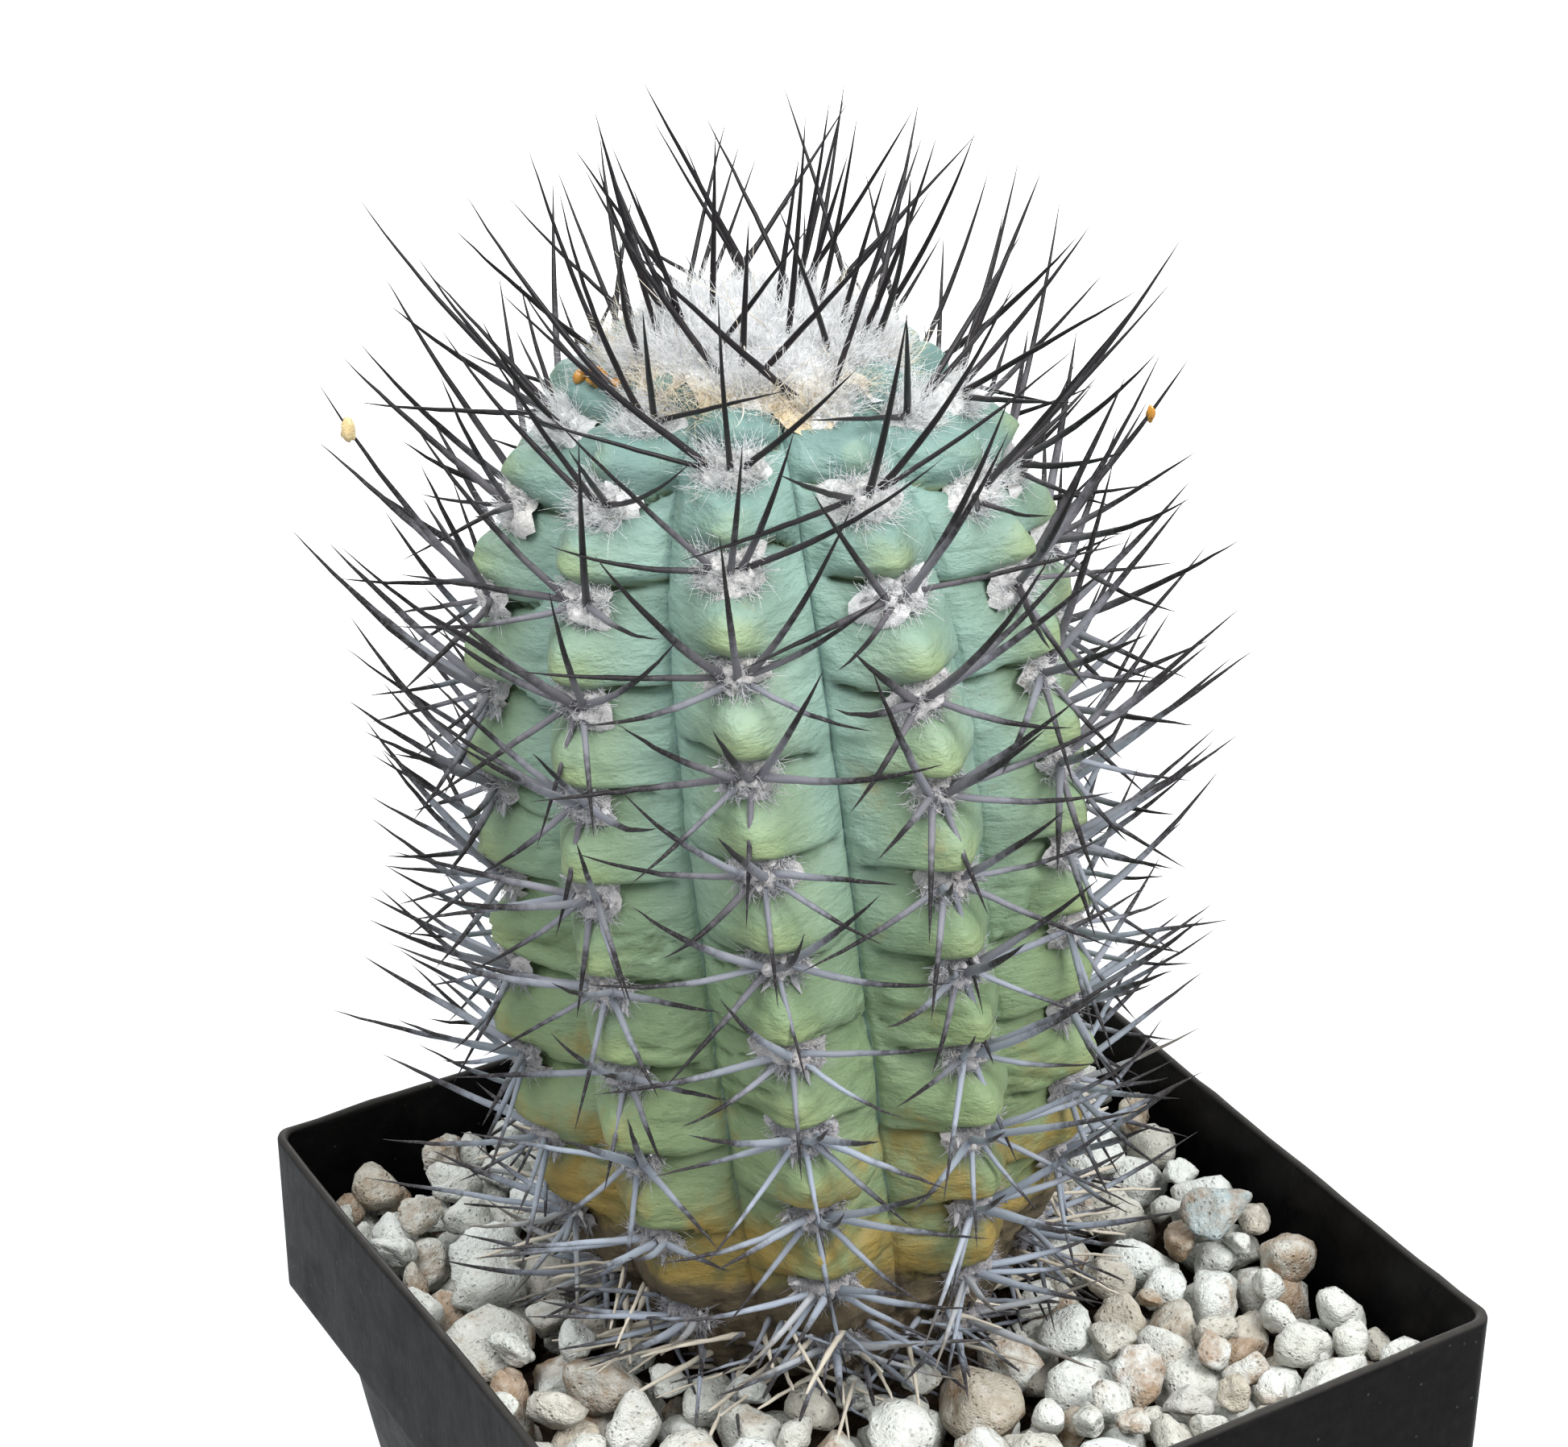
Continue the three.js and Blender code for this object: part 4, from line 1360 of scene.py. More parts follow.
@dataclass
class SpineCoat:
    """Every spine of the plant, each grown clear of those before it."""

    form: StemForm
    gravel_top: float
    rim: float
    inside: float
    girth: float = 0.41
    young_length: float = 23.5
    mature_length: float = 20.5
    base_length: float = 16.5
    steps: int = 14
    sides: int = 8
    tries: int = 7
    room: float = 1.3
    neighbour_reach: float = 26.0
    missing_share: float = 0.07
    crown_count: int = 11
    seed: int = 11
    lines: list[Arrays] = field(default_factory=list)
    curves: list[Array] = field(default_factory=list)

    def full_length(self, share: float) -> float:
        """Length of the longest spines at a share of the stem's height."""
        upper = lerp(self.mature_length, self.young_length, smooth((share - 0.6) / 0.4))
        return float(lerp(self.base_length, upper, smooth(share * 3.0)))

    def crowding(self, start: Array, tip: Array, own: int) -> float:
        """Smallest distance to the spines of other clusters.

        Args:
            start: Where the new spine starts.
            tip: Where it ends.
            own: How many spines stand before its own cluster.

        Returns:
            The distance, in millimetres.
        """
        if own <= 0:
            return NOTHING_NEAR
        starts = np.array([line[0] for line in self.lines[:own]])
        tips = np.array([line[1] for line in self.lines[:own]])
        between = np.linalg.norm((starts + tips) / 2.0 - (start + tip) / 2.0, axis=1)
        near = between < self.neighbour_reach
        if not near.any():
            return NOTHING_NEAR
        share = np.linspace(0.08, 1.0, 10)[:, None]
        mine = start + (tip - start) * share
        theirs = starts[near, None, :] + (tips - starts)[near, None, :] * share[None]
        gaps = np.linalg.norm(mine[None, :, None, :] - theirs[:, None, :, :], axis=-1)
        return float(gaps.min())

    def point_on(self, index: int, share: float) -> Array:
        """Place on a grown spine's own curve.

        Args:
            index: The spine's number.
            share: Share of the way to its tip.

        Returns:
            The place.
        """
        start, tip = self.lines[index]
        return start + (tip - start) * share + self.curves[index] * share**2

    def floor_under(self, tip: Array) -> float:
        """Lowest height for a tip: over the stones, or over the rim beyond them.

        Args:
            tip: The tip's place.

        Returns:
            The height, in millimetres.
        """
        over_rim = max(abs(tip[0]), abs(tip[1])) > self.inside - 2.5
        return self.rim + 1.5 if over_rim else self.gravel_top + 0.5

    def grow(self, areole: Areole, rng: Rng) -> Growth:
        """Grows one cluster.

        Args:
            areole: The cushion that bears it.
            rng: The plant's own chance.

        Returns:
            For each spine its start, aim, length, radius, bend and age.
        """
        own = len(self.lines)
        spines = []
        full = self.full_length(areole.share)
        lean_back = 1.0 - 0.75 * float(smooth((areole.share - 0.8) / 0.15))
        for role in ROLES:
            draws = rng.normal(size=(self.tries, 3))
            scatter = rng.uniform(size=4)
            if not areole.share < role.to_share or scatter[0] < self.missing_share:
                continue
            length = full * role.length * lerp(0.8, 1.15, scatter[1])
            foot = areole.side * 1.25 * np.sign(role.side) * min(1.0, abs(role.side) / 30.0)
            start = areole.seat + areole.out * 0.9 + foot + areole.up * role.foot_up * 1.5
            best, best_room = None, -1.0
            for turn, draw in enumerate(draws):
                up = role.up * lean_back + 7.0 * draw[0] + 4.0 * turn * (areole.share < 0.2)
                aim = areole.aim(up, role.side + 8.0 * draw[1])
                tip = start + aim * length
                if tip[2] < self.floor_under(tip) and turn < self.tries - 1:
                    continue
                room = self.crowding(start, tip, own)
                if room > best_room:
                    best, best_room = aim, room
                if room > self.room:
                    break
            if best is None:
                continue
            tip = start + best * length
            if tip[2] < self.floor_under(tip) - 1.0:
                continue
            self.lines.append((start, tip))
            lift = 0.12 * length * (scatter[2] * 1.4 - 0.05)
            bend = (areole.up * 0.9 + np.array([0.0, 0.0, 0.6]) - best * 0.5) * lift
            self.curves.append(bend)
            slim = lerp(1.0, 0.8, smooth((areole.share - 0.75) / 0.2))
            radius = self.girth * slim * role.girth * lerp(0.85, 1.15, scatter[3])
            age = self.age(areole.share, rng)
            spines.append((start - best * 0.5, best, length, radius, bend, age))
        return spines

    def age(self, share: float, rng: Rng) -> float:
        """From 0, fresh and black, to 0.95, weathered.

        Args:
            share: Share of the stem's height.
            rng: The plant's own chance.

        Returns:
            The age.
        """
        settled = np.interp(share, AGE_SHARES, AGES)
        return float(np.clip(settled + 0.07 * rng.normal(), 0.0, 0.95))

    @staticmethod
    def awl(share: Array) -> Array:
        """An awl's outline: a swollen foot, a long even taper and a fine point."""
        foot = 1.0 + 0.35 * np.exp(-((share / 0.05) ** 2))
        return foot * np.maximum(1.0 - share**1.9, 0.02) ** 0.85

    def grow_crown(self, rng: Rng) -> Growth:
        """Grows the newest spines, which stand upright out of the crown's wool.

        Args:
            rng: The plant's own chance.

        Returns:
            The same values as for a cluster.
        """
        spines = []
        middle = self.form.apex
        for index in range(self.crown_count):
            turn = 2.4 * index + 0.3 * rng.normal()
            away = 2.0 + 9.0 * math.sqrt(index / self.crown_count)
            out = np.array([math.cos(turn), math.sin(turn), 0.0])
            sway = 0.11 * rng.normal(size=3) * [1.0, 1.0, 0.0]
            aim = unit(UP + out * away * 0.034 + sway)
            length = self.young_length * rng.uniform(0.7, 1.18)
            start = middle + out * away - aim * 1.5
            radius = self.girth * rng.uniform(0.72, 0.9)
            bend = out * length * 0.05 * rng.normal()
            spines.append((start, aim, length, radius, bend, 0.03))
            self.lines.append((start, start + aim * length))
            self.curves.append(bend)
        return spines

    def build(self, horn: Material) -> None:
        """Makes the spines of the crown and of each rib as pieces.

        Args:
            horn: Their finish.
        """
        rng = np.random.default_rng(self.seed)
        piles: dict[str, Growth] = {"crown": self.grow_crown(rng)}
        for areole in sorted(self.form.areoles(), key=lambda item: -item.share):
            name = "crown" if areole.row == 1 else f"rib_{areole.rib + 1:02d}"
            piles.setdefault(name, []).extend(self.grow(areole, rng))
        for name, spines in sorted(piles.items()):
            starts, aims, lengths, radii, bends, ages = (np.array(part) for part in zip(*spines))
            rods = Hairs(starts, aims, lengths, radii, bends, self.sides, self.steps, self.awl)
            points, faces, along = rods.shape()
            points += lattice_noise(points / 1.7, 51)[:, None] * 0.05
            draft = Draft()
            draft.add(points, faces, along=along, age=rods.per_point(ages))
            replaced = "crown_spines" if name == "crown" else f"spines_{name}"
            draft.build(f"spine_set_{name}", horn, "spine", replaced)


@dataclass
class DeadSpines:
    """Broken and bleached spines caught between the lowest ribs and the gravel."""

    form: StemForm
    count: int = 280
    lengths: Pair = (4.0, 15.0)
    radii: Pair = (0.22, 0.45)
    bleached_share: float = 0.42
    sides: int = 7
    steps: int = 9
    seed: int = 12

    def build(self, horn: Material) -> Piece:
        """Lays the spines round the stem's foot.

        Args:
            horn: Their finish.

        Returns:
            The piece.
        """
        rng = np.random.default_rng(self.seed)
        count = self.count
        share = rng.uniform(0.0, 0.11, count)
        rib = rng.uniform(0.0, self.form.ribs, count)
        radius = self.form.crest(share) - rng.uniform(0.0, 2.0, count)
        starts = self.form.place(rib, share, radius)
        out = unit(starts - self.form.place(rib, share, np.zeros(count)))
        side = np.stack([-out[:, 1], out[:, 0], np.zeros(count)], axis=-1)
        turn = rng.normal(0.0, 0.9, count)[:, None]
        rise = rng.uniform(-0.22, 0.3, count)[:, None]
        aims = unit(out * 0.8 + side * turn + UP * rise)
        lengths = rng.uniform(*self.lengths, count)
        low = starts[:, 2] + aims[:, 2] * lengths
        short = low < self.form.gravel + 2.0
        aims[short, 2] = np.abs(aims[short, 2]) * 0.3 + 0.05
        aims = unit(aims)
        bends = -UP * (lengths * rng.uniform(0.0, 0.1, count))[:, None]
        radii = rng.uniform(*self.radii, count)
        rods = Hairs(starts, aims, lengths, radii, bends, self.sides, self.steps, self.stub)
        points, faces, along = rods.shape()
        points += lattice_noise(points / 1.2, 52)[:, None] * 0.08
        bleached = rng.uniform(size=count) < self.bleached_share
        ages = np.where(bleached, 1.0, rng.uniform(0.6, 0.93, count))
        draft = Draft()
        draft.add(points, faces, along=along * 0.8, age=rods.per_point(ages))
        return draft.build("dead_spines", horn, "spine")

    @staticmethod
    def stub(share: Array) -> Array:
        """A taper that ends broken off instead of pointed."""
        return 1.0 - 0.55 * share + 0.12 * np.sin(share * 17.0)


# ---- felt and wool


@dataclass
class FeltPads:
    """Felt cushions, their ragged edge flaps and their loose hairs, rib by rib."""

    form: StemForm
    radius: float = 3.0
    thickness: float = 1.5
    rings: int = 12
    spokes: int = 36
    hair_counts: tuple[int, int] = (480, 1000)
    ages: tuple[float, ...] = (0.95, 0.75, 0.5, 0.22, 0.0)
    age_shares: tuple[float, ...] = (0.0, 0.25, 0.6, 0.85, 1.0)
    seed: int = 13

    def pad(self, areole: Areole, rng: Rng) -> Shell:
        """One cushion: a low dome, oval and lumpy, with its rim sunk in the skin.

        Args:
            areole: Where it sits.
            rng: The felt's own chance.

        Returns:
            Points and faces.
        """
        level, angle = polar_grid(np.linspace(0.0, 1.0, self.rings)[1:], self.spokes)
        fresh = lerp(1.0, 1.25, smooth((areole.share - 0.7) / 0.2))
        wide = self.radius * rng.uniform(0.85, 1.12) * fresh
        ragged = 1.0 + 0.22 * np.sin(angle * 2.0 + rng.uniform(0, 6)) * level
        ragged += 0.12 * np.sin(angle * 5.0 + rng.uniform(0, 6)) * level
        x = np.cos(angle) * wide * level * ragged
        y = np.sin(angle) * wide * 0.9 * level * ragged
        rise = self.thickness * np.sqrt(np.maximum(1.0 - level**2.2, 0.0)) - 0.9 * level**3
        hub = areole.seat + areole.out * self.thickness
        points = np.concatenate([areole.at(x, y, rise), [hub]])
        points += areole.out * (layered_noise(points / 0.75, 61, 4) * 0.8)[:, None]
        top = fan_faces(len(points) - 1, np.arange(self.spokes), False)
        return points, [grid_faces(self.rings - 1, self.spokes), top]

    def hairs(self, areole: Areole, rng: Rng) -> Hairs:
        """The loose hairs of one cushion: long and upright when young, short when old.

        Args:
            areole: Where they grow.
            rng: The felt's own chance.

        Returns:
            The hairs.
        """
        fresh = float(smooth((areole.share - 0.78) / 0.2))
        count = int(lerp(*self.hair_counts, fresh))
        turn = rng.uniform(0.0, FULL_TURN, count)
        reach = self.radius * np.sqrt(rng.uniform(0.0, 1.0, count)) * lerp(1.12, 1.15, fresh)
        x, y = np.cos(turn) * reach, np.sin(turn) * reach * 0.9
        dome = np.sqrt(np.maximum(1.0 - (reach / self.radius) ** 2, 0.0))
        starts = areole.at(x, y, self.thickness * dome * 0.7)
        spread = rng.normal(0.0, lerp(0.9, 0.42, fresh), (count, 3))
        outward = (areole.side * x[:, None] + areole.up * y[:, None]) * 0.12
        aims = unit(areole.out * lerp(0.35, 1.0, fresh) + spread + outward)
        lengths = rng.uniform(0.5, 1.0, count) * lerp(1.5, 2.9, fresh)
        bends = rng.normal(0.0, 0.42, (count, 3)) * lengths[:, None]
        radii = np.full(count, lerp(0.055, 0.038, fresh))
        return Hairs(starts, aims, lengths, radii, bends, 3, 3, self.wisp)

    def flaps(self, areole: Areole, rng: Rng) -> Hairs:
        """Stiff grey flakes that stand up round the edge of an old cushion.

        Args:
            areole: Where they stand.
            rng: The felt's own chance.

        Returns:
            The flakes.
        """
        count = int(rng.integers(5, 10))
        turn = rng.uniform(0.0, FULL_TURN, count)
        x, y = np.cos(turn) * self.radius * 0.85, np.sin(turn) * self.radius * 0.75
        edge = areole.side * x[:, None] + areole.up * y[:, None]
        starts = areole.seat + edge + areole.out * 0.1
        aims = unit(edge * 0.35 + areole.out * 0.8 + rng.normal(0.0, 0.35, (count, 3)))
        lengths = rng.uniform(0.9, 1.9, count)
        bends = unit(edge) * (lengths * 0.25)[:, None]
        radii = rng.uniform(0.2, 0.42, count)
        return Hairs(starts, aims, lengths, radii, bends, 5, 4, self.flake)

    @staticmethod
    def wisp(share: Array) -> Array:
        """A hair's taper."""
        return 1.0 - 0.7 * share

    @staticmethod
    def flake(share: Array) -> Array:
        """A flake's outline: widest half way up, torn at the end."""
        return 0.55 + 0.6 * np.sin(np.pi * np.minimum(share * 1.15, 1.0)) - 0.35 * share

    def build(self, felt: Material) -> None:
        """Makes one piece of felt for each rib.

        Args:
            felt: Its finish.
        """
        rng = np.random.default_rng(self.seed)
        drafts = [Draft() for _ in range(self.form.ribs)]
        for areole in self.form.areoles():
            draft = drafts[areole.rib]
            age = float(np.interp(areole.share, self.age_shares, self.ages))
            points, faces = self.pad(areole, rng)
            draft.add(points, faces, age=age, tan=0.08 + 0.1 * rng.uniform())
            hairs = self.hairs(areole, rng)
            points, faces, _ = hairs.shape()
            tans = np.where(rng.uniform(size=len(hairs.lengths)) < 0.1, 0.35, 0.0)
            draft.add(points, faces, age=max(age - 0.12, 0.0), tan=hairs.per_point(tans))
            if areole.share < 0.72:
                points, faces, _ = self.flaps(areole, rng).shape()
                draft.add(points, faces, age=age * 0.72, tan=0.05)
        for rib, draft in enumerate(drafts):
            draft.build(f"areole_felt_rib_{rib + 1:02d}", felt, "wool")


@dataclass
class CrownWool:
    """The woolly cap: a lumpy cushion, its long hairs and a rim of tan tufts."""

    form: StemForm
    reach: float = 14.5
    height: float = 2.4
    rings: int = 25
    spokes: int = 72
    hairs: int = 7200
    threads: int = 26
    seed: int = 14

    def lump(self, x: Array, y: Array) -> Array:
        """Height of the cushion over the apex at places from the crown's middle.

        Args:
            x: Distances along X from the crown's middle.
            y: Distances along Y from it.

        Returns:
            The heights.
        """
        away = np.hypot(x, y) / self.reach
        spots = np.stack([x / 4.5, y / 4.5, np.zeros(len(x))], axis=-1)
        bumps = layered_noise(spots, 71, 3)
        dome = np.sqrt(np.maximum(1.0 - away**2, 0.0))
        return self.height * dome * (1.0 + 0.35 * bumps) - 3.4 * away**2

    def build(self, felt: Material) -> Piece:
        """Makes the cap.

        Args:
            felt: Its finish.

        Returns:
            The piece.
        """
        rng = np.random.default_rng(self.seed)
        crown = self.form.apex
        level, angle = polar_grid(np.linspace(0.0, 1.0, self.rings + 1)[1:], self.spokes)
        ragged = 1.0 + 0.1 * np.sin(angle * self.form.ribs) + 0.06 * np.sin(angle * 3.0 + 1.0)
        x = np.cos(angle) * level * self.reach * ragged
        y = np.sin(angle) * level * self.reach * ragged
        points = crown + np.stack([x, y, self.lump(x, y) - 0.6], axis=-1)
        points = np.concatenate([points, [crown + [0.0, 0.0, self.height]]])
        points += layered_noise(points / 1.3, 72)[:, None] * 0.35
        top = fan_faces(len(points) - 1, np.arange(self.spokes), False)
        faces = [grid_faces(self.rings, self.spokes), top]
        draft = Draft()
        draft.add(points, faces, age=0.0, tan=self.tan_at(points - crown))
        turn = rng.uniform(0.0, FULL_TURN, self.hairs)
        away = np.sqrt(rng.uniform(0.0, 1.0, self.hairs)) * self.reach * 1.02
        x, y = np.cos(turn) * away, np.sin(turn) * away
        starts = crown + np.stack([x, y, self.lump(x, y) - 0.8], axis=-1)
        outward = np.stack([x, y, np.zeros(self.hairs)], axis=-1) / self.reach
        spread = rng.normal(0.0, 0.55, (self.hairs, 3))
        aims = unit(np.array([0.0, 0.0, 0.75]) + outward * 0.7 + spread)
        lengths = rng.uniform(1.4, 3.8, self.hairs)
        bends = rng.normal(0.0, 0.33, (self.hairs, 3)) * lengths[:, None]
        radii = np.full(self.hairs, 0.05)
        rods = Hairs(starts, aims, lengths, radii, bends, 3, 3, FeltPads.wisp)
        points, faces, _ = rods.shape()
        draft.add(points, faces, age=0.02, tan=rods.per_point(self.tan_at(starts - crown)))
        few = slice(0, self.threads)
        curls = rng.normal(0.0, 0.45, (self.threads, 3)) * 7.0
        radii = np.full(self.threads, 0.09)
        long = lengths[few] * 2.0
        rods = Hairs(starts[few], aims[few], long, radii, curls, 4, 10, FeltPads.wisp)
        points, faces, _ = rods.shape()
        draft.add(points, faces, age=0.1, tan=0.6)
        return draft.build("crown_wool_cap", felt, "wool", "crown_wool")

    def tan_at(self, places: Array) -> Array:
        """How tan the wool is: in tufts along the rim.

        Args:
            places: Places from the crown's middle.

        Returns:
            From 0, white, to 0.85, tan.
        """
        away = np.hypot(places[:, 0], places[:, 1]) / self.reach
        patch = lattice_noise(places / 4.0 * LEVEL + 3.0, 73)
        return smooth((away - 0.74) / 0.2) * smooth((patch + 0.05) / 0.35) * 0.85


# ---- gravel


@dataclass
class Stone:
    """One finished grain: points about its middle, with its colours."""

    points: Array
    faces: Array
    tone: float
    stain: float
    pits: Array
    place: Array = field(default_factory=lambda: np.zeros(3))


@dataclass
class PumiceBed:
    """Pumice grains dropped one by one into the pot, each on those below it."""

    inside: float
    floor: float
    top: float
    stem_foot: Pair
    stem_reach: float
    stones: int = 680
    usual_radius: float = 2.9
    radius_spread: float = 0.28
    radius_limits: Pair = (1.3, 4.9)
    cell: float = 0.5
    candidates: int = 40
    layers: int = 8
    slabs_after: int = 8
    slab_radius: float = 4.6
    slab_spot: Pair = (38.0, -16.0)
    cuts: int = 10
    pits: int = 9
    seed: int = 15

    def ball(self, cuts: int) -> Arrays:
        """A ball of even triangles.

        Args:
            cuts: How finely it is cut.

        Returns:
            Directions and faces.
        """
        mesh = bpy.data.meshes.new("ball")
        shape = bmesh.new()
        bmesh.ops.create_icosphere(shape, subdivisions=cuts, radius=1.0)
        shape.to_mesh(mesh)
        shape.free()
        points = np.zeros(len(mesh.vertices) * 3)
        mesh.vertices.foreach_get("co", points)
        faces = np.zeros(len(mesh.polygons) * 3, dtype=np.int64)
        mesh.polygons.foreach_get("vertices", faces)
        bpy.data.meshes.remove(mesh)
        return unit(points.reshape(-1, 3)), faces.reshape(-1, 3)

    def grain(self, ball: Arrays, radius: float, rng: Rng, flat: bool) -> Stone:
        """Breaks and weathers one grain.

        Args:
            ball: Directions and faces to start from.
            radius: Half the grain's size.
            rng: The gravel's own chance.
            flat: Whether it is a thin slab.

        Returns:
            The grain, about its own middle.
        """
        rays, faces = ball
        planes = unit(rng.normal(size=(self.cuts, 3)))
        depths = rng.uniform(0.6, 1.02, self.cuts)
        facing = np.maximum(rays @ planes.T / depths, 0.0)
        sharp = rng.uniform(9.0, 20.0)
        distance = (np.sum(facing**sharp, axis=1) + 0.85**sharp) ** (-1.0 / sharp)
        stretch = rng.uniform(0.78, 1.2, 3)
        stretch[2] *= 0.4 if flat else 0.85
        points = rays * distance[:, None] * stretch
        knobs = layered_noise(points * 1.9 + rng.uniform(0, 50), 81, 4)
        points *= (1.0 + 0.125 * knobs)[:, None]
        pits = np.zeros(len(rays))
        for spot in unit(rng.normal(size=(self.pits, 3))):
            size = rng.uniform(0.07, 0.2)
            close = np.arccos(np.clip(rays @ spot, -1.0, 1.0)) / size
            pits = np.maximum(pits, np.exp(-(close**2)) * rng.uniform(0.4, 1.0))
        points *= (1.0 - 0.09 * pits)[:, None]
        turn = rng.uniform(0.0, FULL_TURN)
        tip = rng.normal(0.0, 0.12 if flat else 0.5)
        c, s = math.cos(turn), math.sin(turn)
        spin = np.array([[c, -s, 0.0], [s, c, 0.0], UP])
        c, s = math.cos(tip), math.sin(tip)
        lean = np.array([[1.0, 0.0, 0.0], [0.0, c, -s], [0.0, s, c]])
        points = points @ lean.T @ spin.T * radius
        tone = 1.0 if flat else min(rng.uniform(0.0, 0.95), rng.uniform(0.2, 0.95))
        return Stone(points, faces, tone, float(rng.uniform(-0.3, 0.42)), pits)

    def drop(self) -> list[Stone]:
        """Fills the pot.

        Returns:
            The grains, in the order in which they fell.
        """
        rng = np.random.default_rng(self.seed)
        coarse, fine = self.ball(3), self.ball(4)
        size = int(2 * self.inside / self.cell)
        axis = (np.arange(size) + 0.5) * self.cell - self.inside
        x, y = np.meshgrid(axis, axis, indexing="ij")
        blocked = np.hypot(x - self.stem_foot[0], y - self.stem_foot[1]) < self.stem_reach
        ground = np.where(blocked, 900.0, self.floor)
        slab = self.stones - self.slabs_after
        fallen = []
        for index in range(self.stones):
            late = index / self.stones
            radius = rng.lognormal(math.log(self.usual_radius), self.radius_spread)
            radius = float(np.clip(radius, *self.radius_limits))
            radius = self.slab_radius if index == slab else radius
            stone = self.grain(fine if late > 0.6 else coarse, radius, rng, flat=index == slab)
            cells = np.round(stone.points[:, :2] / self.cell).astype(int)
            keys, where = np.unique(cells, axis=0, return_inverse=True)
            where = where.ravel()
            under = np.full(len(keys), np.inf)
            over = np.full(len(keys), -np.inf)
            np.minimum.at(under, where, stone.points[:, 2])
            np.maximum.at(over, where, stone.points[:, 2])
            margin = int(np.abs(keys).max()) + 1
            spots = rng.integers(margin, size - margin, size=(self.candidates, 2))
            if index == slab:
                near = np.array(self.slab_spot) + self.inside + spots % 7 * 0.5
                spots = np.round(near / self.cell).astype(int)
            best, lowest = None, np.inf
            for spot in spots:
                heights = ground[keys[:, 0] + spot[0], keys[:, 1] + spot[1]]
                rest = float(np.max(heights - under))
                if rest < lowest:
                    best, lowest = spot, rest
            if lowest + float(over.max()) > self.top and index != slab:
                continue
            rows, columns = keys[:, 0] + best[0], keys[:, 1] + best[1]
            ground[rows, columns] = np.maximum(ground[rows, columns], lowest + over)
            stone.place = np.array([axis[best[0]], axis[best[1]], lowest])
            fallen.append(stone)
        return fallen

    def build(self, pumice: Material) -> None:
        """Drops the grains and makes the bed and the loose grains.

        Args:
            pumice: Their finish.
        """
        fallen = self.drop()
        names = sorted(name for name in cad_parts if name.startswith("pumice_stone_"))
        free = list(fallen[len(fallen) // 3 :])
        for name in names:
            low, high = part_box(name)
            spot = np.array([(low[i] + high[i]) / 2.0 / MM for i in range(2)])
            free.sort(key=lambda stone: np.hypot(*(stone.place[:2] - spot)) - stone.place[2])
            stone = free.pop(0)
            draft = Draft()
            self.lay(draft, stone)
            draft.build(name.replace("stone", "grain"), pumice, "stone", name)
            fallen = [other for other in fallen if other is not stone]
        layers = [Draft() for _ in range(self.layers)]
        for index, stone in enumerate(fallen):
            self.lay(layers[index * len(layers) // len(fallen)], stone)
        for level, draft in enumerate(layers):
            replaced = [] if level else ["gravel_bed"]
            draft.build(f"pumice_layer_{level + 1}", pumice, "gravel", *replaced)

    @staticmethod
    def lay(draft: Draft, stone: Stone) -> None:
        """Adds one grain to a draft at its place."""
        points = stone.points + stone.place
        # the pit values also set the painted shade in the pits
        draft.add(points, [stone.faces], tone=stone.tone, stain=stone.stain, pit=stone.pits)


# ---- pot and mix


def straight(first: Pair, last: Pair, count: int) -> list[Pair]:
    """Lays out evenly spaced places.

    Args:
        first: The first place.
        last: The last place.
        count: Number of steps between them.

    Returns:
        The places.
    """
    return [tuple(lerp(a, b, i / count) for a, b in zip(first, last)) for i in range(count + 1)]


def rounded(middle: Pair, radius: float, start: float, end: float, count: int = 5) -> list[Pair]:
    """Lays out places on an arc.

    Args:
        middle: The arc's middle.
        radius: Its radius.
        start: Its first angle, in degrees.
        end: Its last angle, in degrees.
        count: Number of steps along it.

    Returns:
        The places.
    """
    angles = [math.radians(lerp(start, end, i / count)) for i in range(count + 1)]
    return [(middle[0] + radius * math.cos(a), middle[1] + radius * math.sin(a)) for a in angles]


